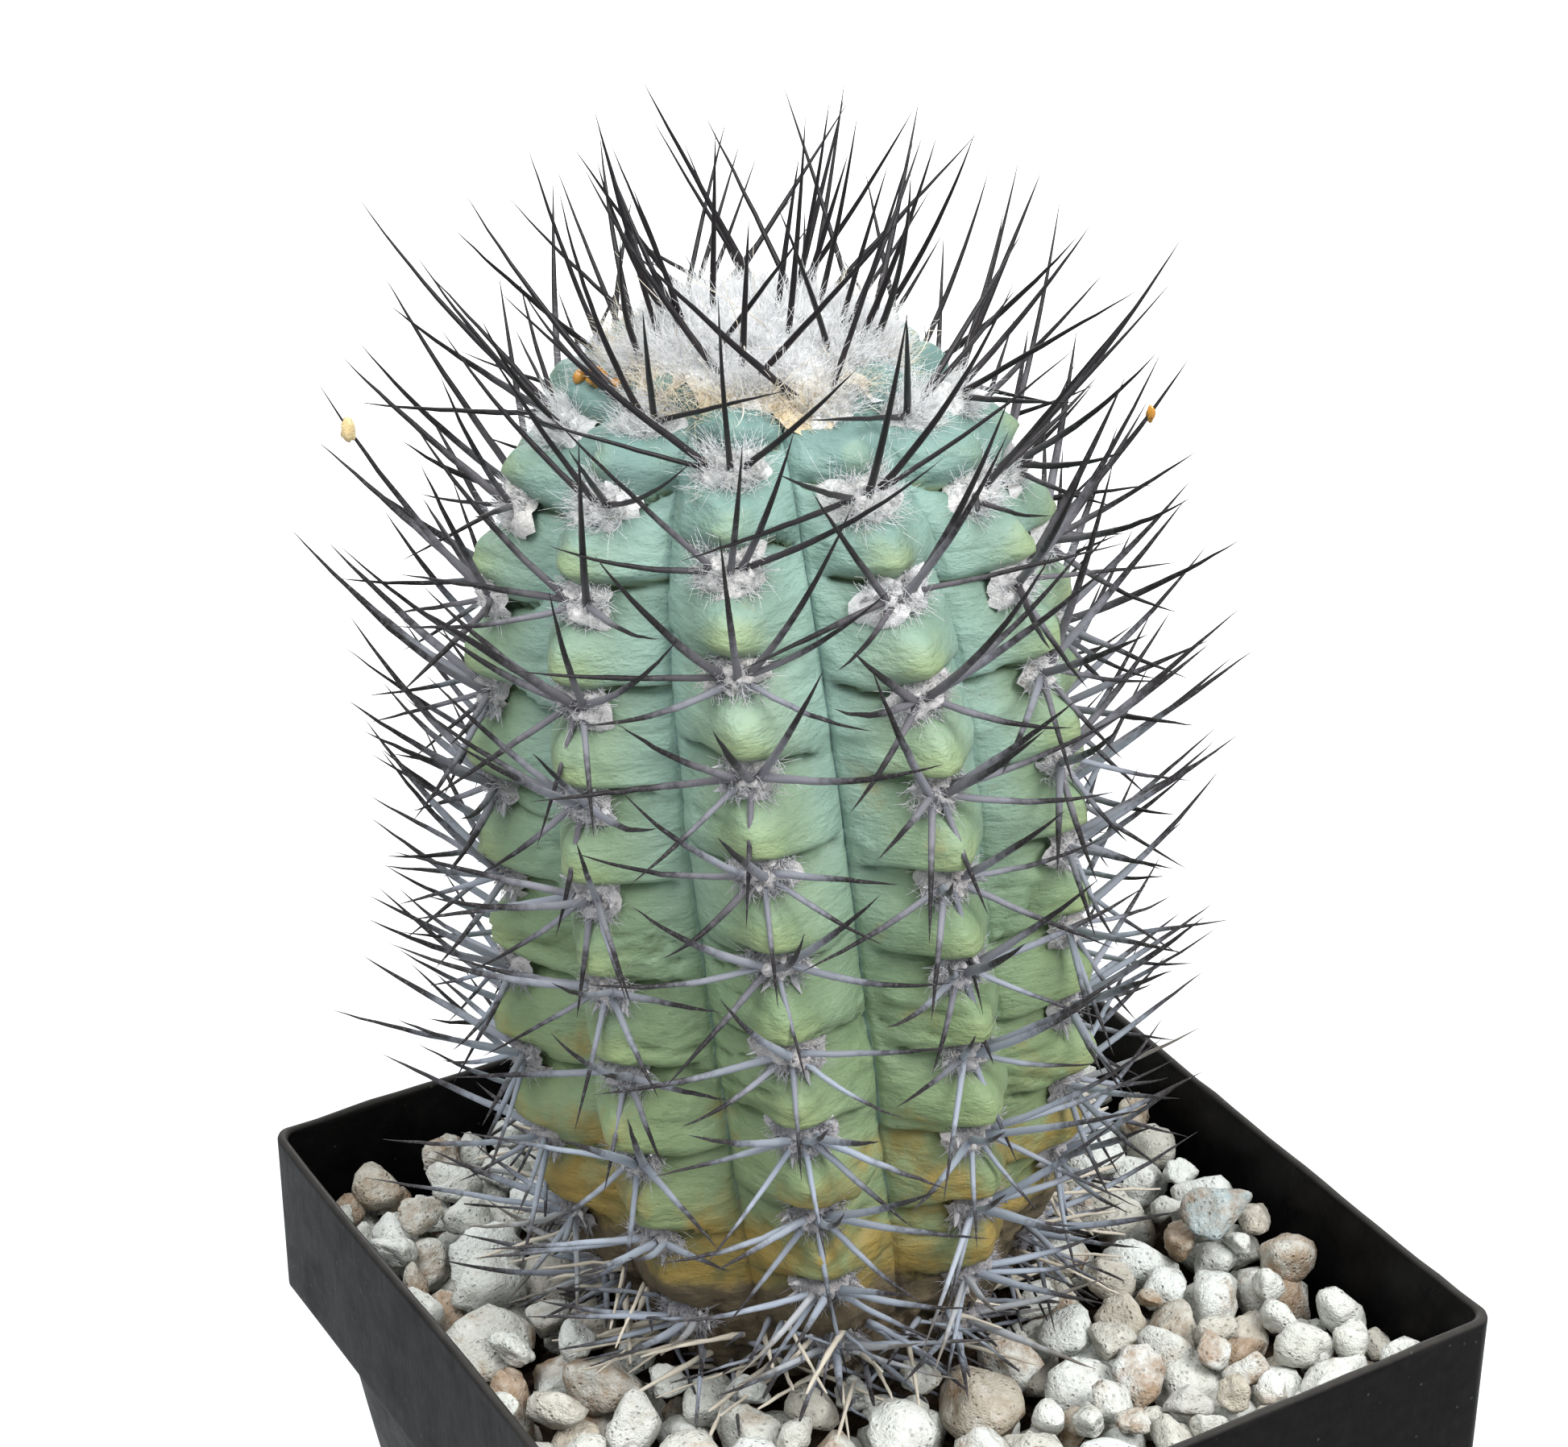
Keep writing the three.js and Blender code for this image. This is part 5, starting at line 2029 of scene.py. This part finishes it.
@dataclass
class NurseryPot:
    """The square pot: tapered body, deeper rim band, thin uneven lip, drained floor."""

    half: float
    height: float
    wall: float = 1.0
    band: float = 21.4
    step: float = 4.2
    foot: float = 35.5
    corner: float = 2.0
    fillet: float = 0.4
    floor: float = 1.4
    per_corner: int = 12
    per_side: int = 28
    drain_radius: float = 4.5
    drain_inset: float = 11.0
    drain_sides: int = 32

    def outline(self) -> list[Triple]:
        """Traces the wall, from the floor's middle out, up and in again.

        Returns:
            Half widths, heights and corner radii.
        """
        body = self.half - self.step
        band_foot = self.height - self.band
        shelf = band_foot + self.wall
        edge, r = self.wall / 2.0, self.fillet
        within, core = self.half - self.wall, body - self.wall
        base = self.foot * 0.3
        outer = [
            *straight((base, 0.0), (self.foot - 2.0, 0.0), 6),
            *rounded((self.foot - 1.2, 1.2), 1.2, -90.0, 0.0),
            *straight((self.foot + 0.3, 3.0), (body - 0.1, band_foot - r - 0.6), 26),
            *rounded((body + r, band_foot - r), r, 180.0, 90.0),
            *rounded((self.half - r, band_foot + r), r, -90.0, 0.0),
            *straight((self.half, band_foot + 1.0), (self.half, self.height - 1.0), 12),
            *rounded((self.half - edge, self.height - edge), edge, 0.0, 180.0),
        ]
        inner = [
            *straight((within, self.height - 1.0), (within, shelf + r), 12),
            *straight((within - r, shelf), (core, shelf), 3),
            *straight((core, band_foot), (self.foot - self.wall + 0.2, self.floor + 1.0), 14),
            *straight((self.foot - self.wall - 1.0, self.floor), (base, self.floor), 6),
        ]
        rows = [(*place, self.corner) for place in outer]
        return rows + [(*place, self.corner - self.wall) for place in inner]

    def ring(self, half: float, height: float, corner: float) -> Array:
        """Lays out points round a square with rounded corners.

        Args:
            half: Half the square's width.
            height: The points' height.
            corner: The corners' radius.

        Returns:
            The points.
        """
        corner = min(corner, half * 0.9)
        quarter = []
        flat = half - corner
        for i in range(self.per_side):
            quarter.append((half, lerp(-flat, flat, i / self.per_side)))
        for i in range(self.per_corner):
            angle = math.pi / 2.0 * i / self.per_corner
            quarter.append((flat + corner * math.cos(angle), flat + corner * math.sin(angle)))
        points = []
        for turn in range(4):
            c, s = round(math.cos(turn * math.pi / 2)), round(math.sin(turn * math.pi / 2))
            points.extend((x * c - y * s, x * s + y * c, height) for x, y in quarter)
        return np.array(points)

    def warp(self, points: Array) -> Array:
        """Gives the thin walls their slight waves, strongest at the lip.

        Args:
            points: Places on the even pot.

        Returns:
            The moved places.
        """
        high = smooth(points[:, 2] / self.height)[:, None]
        waves = [lattice_noise(points / 34.0, seed) for seed in (91, 92)]
        wave = np.stack([*waves, np.zeros(len(points))], axis=-1)
        lip = smooth((points[:, 2] - self.height + 2.5) / 2.5)
        ripple = layered_noise(points * LEVEL / 5.0, 93)
        moved = points + wave * 0.55 * high * (points[:, 2:] > 5.0)
        moved[:, 2] += lip * ripple * 0.14
        return moved

    def build(self, plastic: Material) -> Piece:
        """Makes the pot and bores its drain holes.

        Args:
            plastic: Its finish.

        Returns:
            The piece.
        """
        rows = self.outline()
        rings = [self.ring(*row) for row in rows]
        columns = len(rings[0])
        points = self.warp(np.concatenate(rings))
        points = np.concatenate([points, [[0.0, 0.0, 0.0], [0.0, 0.0, self.floor]]])
        # painted highlight mask: lighter along the lip and the outer step edge
        near_lip = smooth((points[:, 2] - self.height + 0.55) / 0.5)
        outside = np.abs(points[:, :2]).max(axis=1) > self.half - 1.0
        near_step = np.exp(-(((points[:, 2] - self.height + self.band) / 0.5) ** 2)) * outside
        rubbed = np.clip(near_lip + 0.6 * near_step, 0.0, 1.0)
        draft = Draft()
        draft.add(points, shell_faces(len(rows), columns), rubbed=rubbed)
        pot = draft.build("nursery_pot", plastic, "pot", "pot")
        self.drain(pot)
        return pot

    def drain(self, pot: Piece) -> None:
        """Bores the four drain holes through the floor.

        Args:
            pot: The undrilled pot.
        """
        reach, sides = self.foot - self.drain_inset, self.drain_sides
        cutter = Draft()
        turn = np.linspace(0.0, FULL_TURN, sides, endpoint=False)
        ring = np.stack([np.cos(turn), np.sin(turn), np.zeros(sides)], axis=-1)
        for x in (-reach, reach):
            for y in (-reach, reach):
                rim = np.array([x, y, 0.0]) + self.drain_radius * ring
                low, high = rim - [0.0, 0.0, 3.0], rim + [0.0, 0.0, 4.0]
                points = np.concatenate([low, high, [[x, y, -3.0], [x, y, 4.0]]])
                cutter.add(points, shell_faces(2, sides))
        mesh = bpy.data.meshes.new("drill")
        faces = [face for part in cutter.faces for face in part.tolist()]
        mesh.from_pydata((np.concatenate(cutter.points) * MM).tolist(), [], faces)
        drill = new_object("drill", mesh)
        cut = pot.modifiers.new("drains", "BOOLEAN")
        cut.object = drill
        cut.operation = "DIFFERENCE"
        cut.solver = "EXACT"
        bpy.context.view_layer.update()
        solved = pot.evaluated_get(bpy.context.evaluated_depsgraph_get())
        bored = bpy.data.meshes.new_from_object(solved)
        pot.modifiers.clear()
        pot.data = bored
        bpy.data.objects.remove(drill)
        bpy.data.meshes.remove(mesh)


@dataclass
class PottingMix:
    """The root ball: packed mix with a crumbly skin, seen through the drain holes."""

    pot: NurseryPot
    top: float
    gap: float = 0.5

    def build(self, mix: Material) -> Piece:
        """Makes the root ball.

        Args:
            mix: Its finish.

        Returns:
            The piece.
        """
        pot = self.pot
        low = pot.floor + self.gap
        step = pot.height - pot.band + pot.wall
        rows = []
        for i in range(25):
            share = i / 24
            half = lerp(pot.foot, pot.half - pot.step, share) - pot.wall - self.gap
            rows.append((half, lerp(low, step, share)))
        wide = pot.half - pot.wall - self.gap
        rows += [(wide, step + self.gap), (wide, self.top)]
        shares = (0.2, 0.4, 0.6, 0.8)
        rows = [(rows[0][0] * share, low) for share in shares] + rows
        rows += [(wide * share, self.top) for share in reversed(shares)]
        rings = [pot.ring(half, height, pot.corner - pot.wall) for half, height in rows]
        columns = len(rings[0])
        points = np.concatenate(rings)
        crumbs = layered_noise(points / 3.0, 95, 3)
        at_top = points[:, 2:] > self.top - 0.1
        inward = unit(-points * LEVEL - UP * at_top)
        points += inward * (0.45 + 0.45 * crumbs)[:, None]
        points = np.concatenate([points, [[0.0, 0.0, low + 0.4], [0.0, 0.0, self.top - 0.4]]])
        draft = Draft()
        draft.add(points, shell_faces(len(rows), columns))
        return draft.build("potting_mix", mix, "soil", "soil")


# ---- small finds


@dataclass
class Oddments:
    """Resin drops on a shoulder, and dry scraps caught on the spines."""

    form: StemForm
    drops: tuple[Triple, ...] = (
        (0.14, 1.5, 1.2),
        (0.3, 1.48, 0.9),
        (0.04, 1.58, 0.8),
        (0.0, 1.85, 0.6),
    )
    toward_left: Triple = (-0.859, 0.511, 0.0)
    rings: int = 12
    spokes: int = 18

    def blob(self, middle: Array, size: Triple, seed: int) -> Shell:
        """A small lumpy drop.

        Args:
            middle: Its middle.
            size: Its half sizes.
            seed: Which lumps it has.

        Returns:
            Points and faces.
        """
        level, angle = polar_grid(np.linspace(0, np.pi, self.rings + 2)[1:-1], self.spokes)
        flat = np.sin(level)
        rays = np.stack([flat * np.cos(angle), flat * np.sin(angle), np.cos(level)], axis=-1)
        rays = np.concatenate([rays, [[0, 0, 1.0], [0, 0, -1.0]]])
        lumps = 1.0 + 0.22 * layered_noise(rays * 1.6 + seed, seed)
        points = middle + rays * size * lumps[:, None]
        return points, shell_faces(self.rings, self.spokes, flipped=True)

    def build(self, resin: Material, felt: Material, coat: SpineCoat) -> None:
        """Makes the resin drops and the scraps.

        Args:
            resin: Finish of the drops.
            felt: Finish of the scraps.
            coat: The spines that the scraps are caught on.
        """
        drops = Draft()
        for index, (aside, row, size) in enumerate(self.drops):
            length = self.form.row_length(np.array([row]), 1)
            spot = self.form.surface(np.array([1.0 + aside]), length)[0][0] + [0.0, 0.0, 0.3 * size]
            drops.add(*self.blob(spot, (size, size * 0.8, size * 0.9), 100 + index))
        drops.build("resin_drops", resin, "skin")
        lowest = self.form.gravel + 0.88 * self.form.height
        tips = {index: line[1] for index, line in enumerate(coat.lines)}
        high = [index for index, tip in tips.items() if lowest < tip[2] < lowest + 15.0]
        across = {index: float(tips[index] @ self.toward_left) for index in high}
        left, right = max(high, key=across.get), min(high, key=across.get)
        petal = Draft()
        petal.add(*self.blob(coat.point_on(left, 0.8), (0.8, 0.9, 1.2), 110), age=0.3, tan=1.0)
        petal.build("dry_petal", felt, "wool")
        husk = Draft()
        husk.add(*self.blob(coat.point_on(right, 0.7), (0.45, 0.5, 0.9), 111))
        husk.build("seed_husk", resin, "skin")


# ---- studio


@dataclass
class Studio:
    """Pale floor, soft light and the camera."""

    rim: float
    lens: float = 80.8
    camera_offset: Triple = (-171.9, -272.0, 238.4)
    view: Triple = (0.4494, 0.755, -0.4773)
    floor_half: float = 6.0
    paper: Colour = (0.5, 0.505, 0.51)
    sky: Colour = (0.86, 0.94, 1.0)
    sky_strength: float = 0.62
    aim: Triple = (0.0, 0.0, 0.12)

    def build_floor(self) -> None:
        """Lays the floor that the pot stands on; to the camera it glows, less near the pot, so the
        floor is painted darker round it.
        """
        mesh = bpy.data.meshes.new("floor")
        reach = self.floor_half
        corners = [(-reach, -reach, 0), (reach, -reach, 0), (reach, reach, 0), (-reach, reach, 0)]
        mesh.from_pydata(corners, [], [(0, 1, 2, 3)])
        floor = new_object("floor", mesh)
        white = (1.0, 1.0, 1.0)
        paper = Surface("floor_paper", Base_Color=self.paper, Roughness=0.9, Emission_Color=white)
        away = paper.add("ShaderNodeVectorMath", {"operation": "LENGTH"})
        paper.put(away.inputs[0], paper.places())
        # painted light: the floor glows to the camera only, more weakly near the pot
        glow = paper.remap(away.outputs["Value"], 0.1, 0.55, 0.4, 0.8)
        seen = paper.add("ShaderNodeLightPath").outputs["Is Camera Ray"]
        paper.feed(paper.shader, Emission_Strength=paper.maths(Sum.TIMES, glow, seen))
        mesh.materials.append(paper.material)

    def build_light(self) -> None:
        """Sets the soft surroundings and the softboxes."""
        world = bpy.data.worlds.new("soft_surroundings")
        world.use_nodes = True
        sky = world.node_tree.nodes["Background"]
        graph = Graph(world.node_tree)
        seen = graph.add("ShaderNodeLightPath").outputs["Is Camera Ray"]
        strength = graph.maths(Sum.LARGER, seen, self.sky_strength)
        graph.feed(sky, Strength=strength, Color=graph.blend(self.sky, (1.0, 1.0, 1.0), seen))
        bpy.context.scene.world = world
        self.softbox("softbox_key", (0.2, -0.6, 0.85), size=0.45, power=10.5)
        self.softbox("softbox_top", (-0.35, -0.05, 0.95), size=0.6, power=8.0)
        self.softbox("softbox_back", (0.4, 0.8, 0.5), size=0.6, power=5.0)

    def softbox(self, name: str, place: Triple, size: float, power: float) -> None:
        """Hangs one square softbox that faces the plant.

        Args:
            name: Its name.
            place: Where it hangs, in metres.
            size: Length of its side, in metres.
            power: Its power, in watts.
        """
        lamp = bpy.data.lights.new(name, "AREA")
        lamp.size = size
        lamp.energy = power
        holder = new_object(name, lamp)
        holder.location = place
        facing = Vector(self.aim) - Vector(place)
        holder.rotation_euler = facing.to_track_quat("-Z", "Y").to_euler()

    def build_camera(self) -> None:
        """Sets the camera at the viewing angle."""
        data = bpy.data.cameras.new("camera")
        data.lens = self.lens
        data.sensor_width = 36.0
        data.clip_start = 0.01
        camera = new_object("camera", data)
        offset = Vector(self.camera_offset) + Vector((0.0, 0.0, self.rim))
        camera.location = offset * MM
        camera.rotation_euler = Vector(self.view).to_track_quat("-Z", "Y").to_euler()
        bpy.context.scene.camera = camera


def main() -> None:
    """Builds the whole object in order."""
    logging.basicConfig(level=logging.INFO, format="%(name)s: %(message)s")
    bpy.context.scene.view_settings.view_transform = "Standard"
    pot_low, pot_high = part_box("pot")
    half = (pot_high[0] - pot_low[0]) / 2.0 / MM
    rim = pot_high[2] / MM
    studio = Studio(rim)
    studio.build_camera()
    studio.build_floor()
    studio.build_light()
    form = StemForm(gravel=rim - 10.0)
    Stem(form).build(SkinFinish().make())
    horn = SpineFinish().make()
    felt = FeltFinish().make()
    coat = SpineCoat(form, gravel_top=form.gravel + 4.0, rim=rim, inside=half - 1.0)
    coat.build(horn)
    DeadSpines(form).build(horn)
    FeltPads(form).build(felt)
    CrownWool(form).build(FeltFinish("crown_fleece", soak=1.0, sheen=0.6).make())
    pot = NurseryPot(half, rim)
    pot.build(PlasticFinish().make())
    PottingMix(pot, top=rim - 18.5).build(MixFinish().make())
    inside = half - pot.wall - 0.2
    bed = PumiceBed(inside, floor=rim - 17.5, top=rim - 4.6, stem_foot=form.foot, stem_reach=22.8)
    bed.build(PumiceFinish().make())
    Oddments(form).build(ResinFinish().make(), felt, coat)


if __name__ == "__main__":
    main()
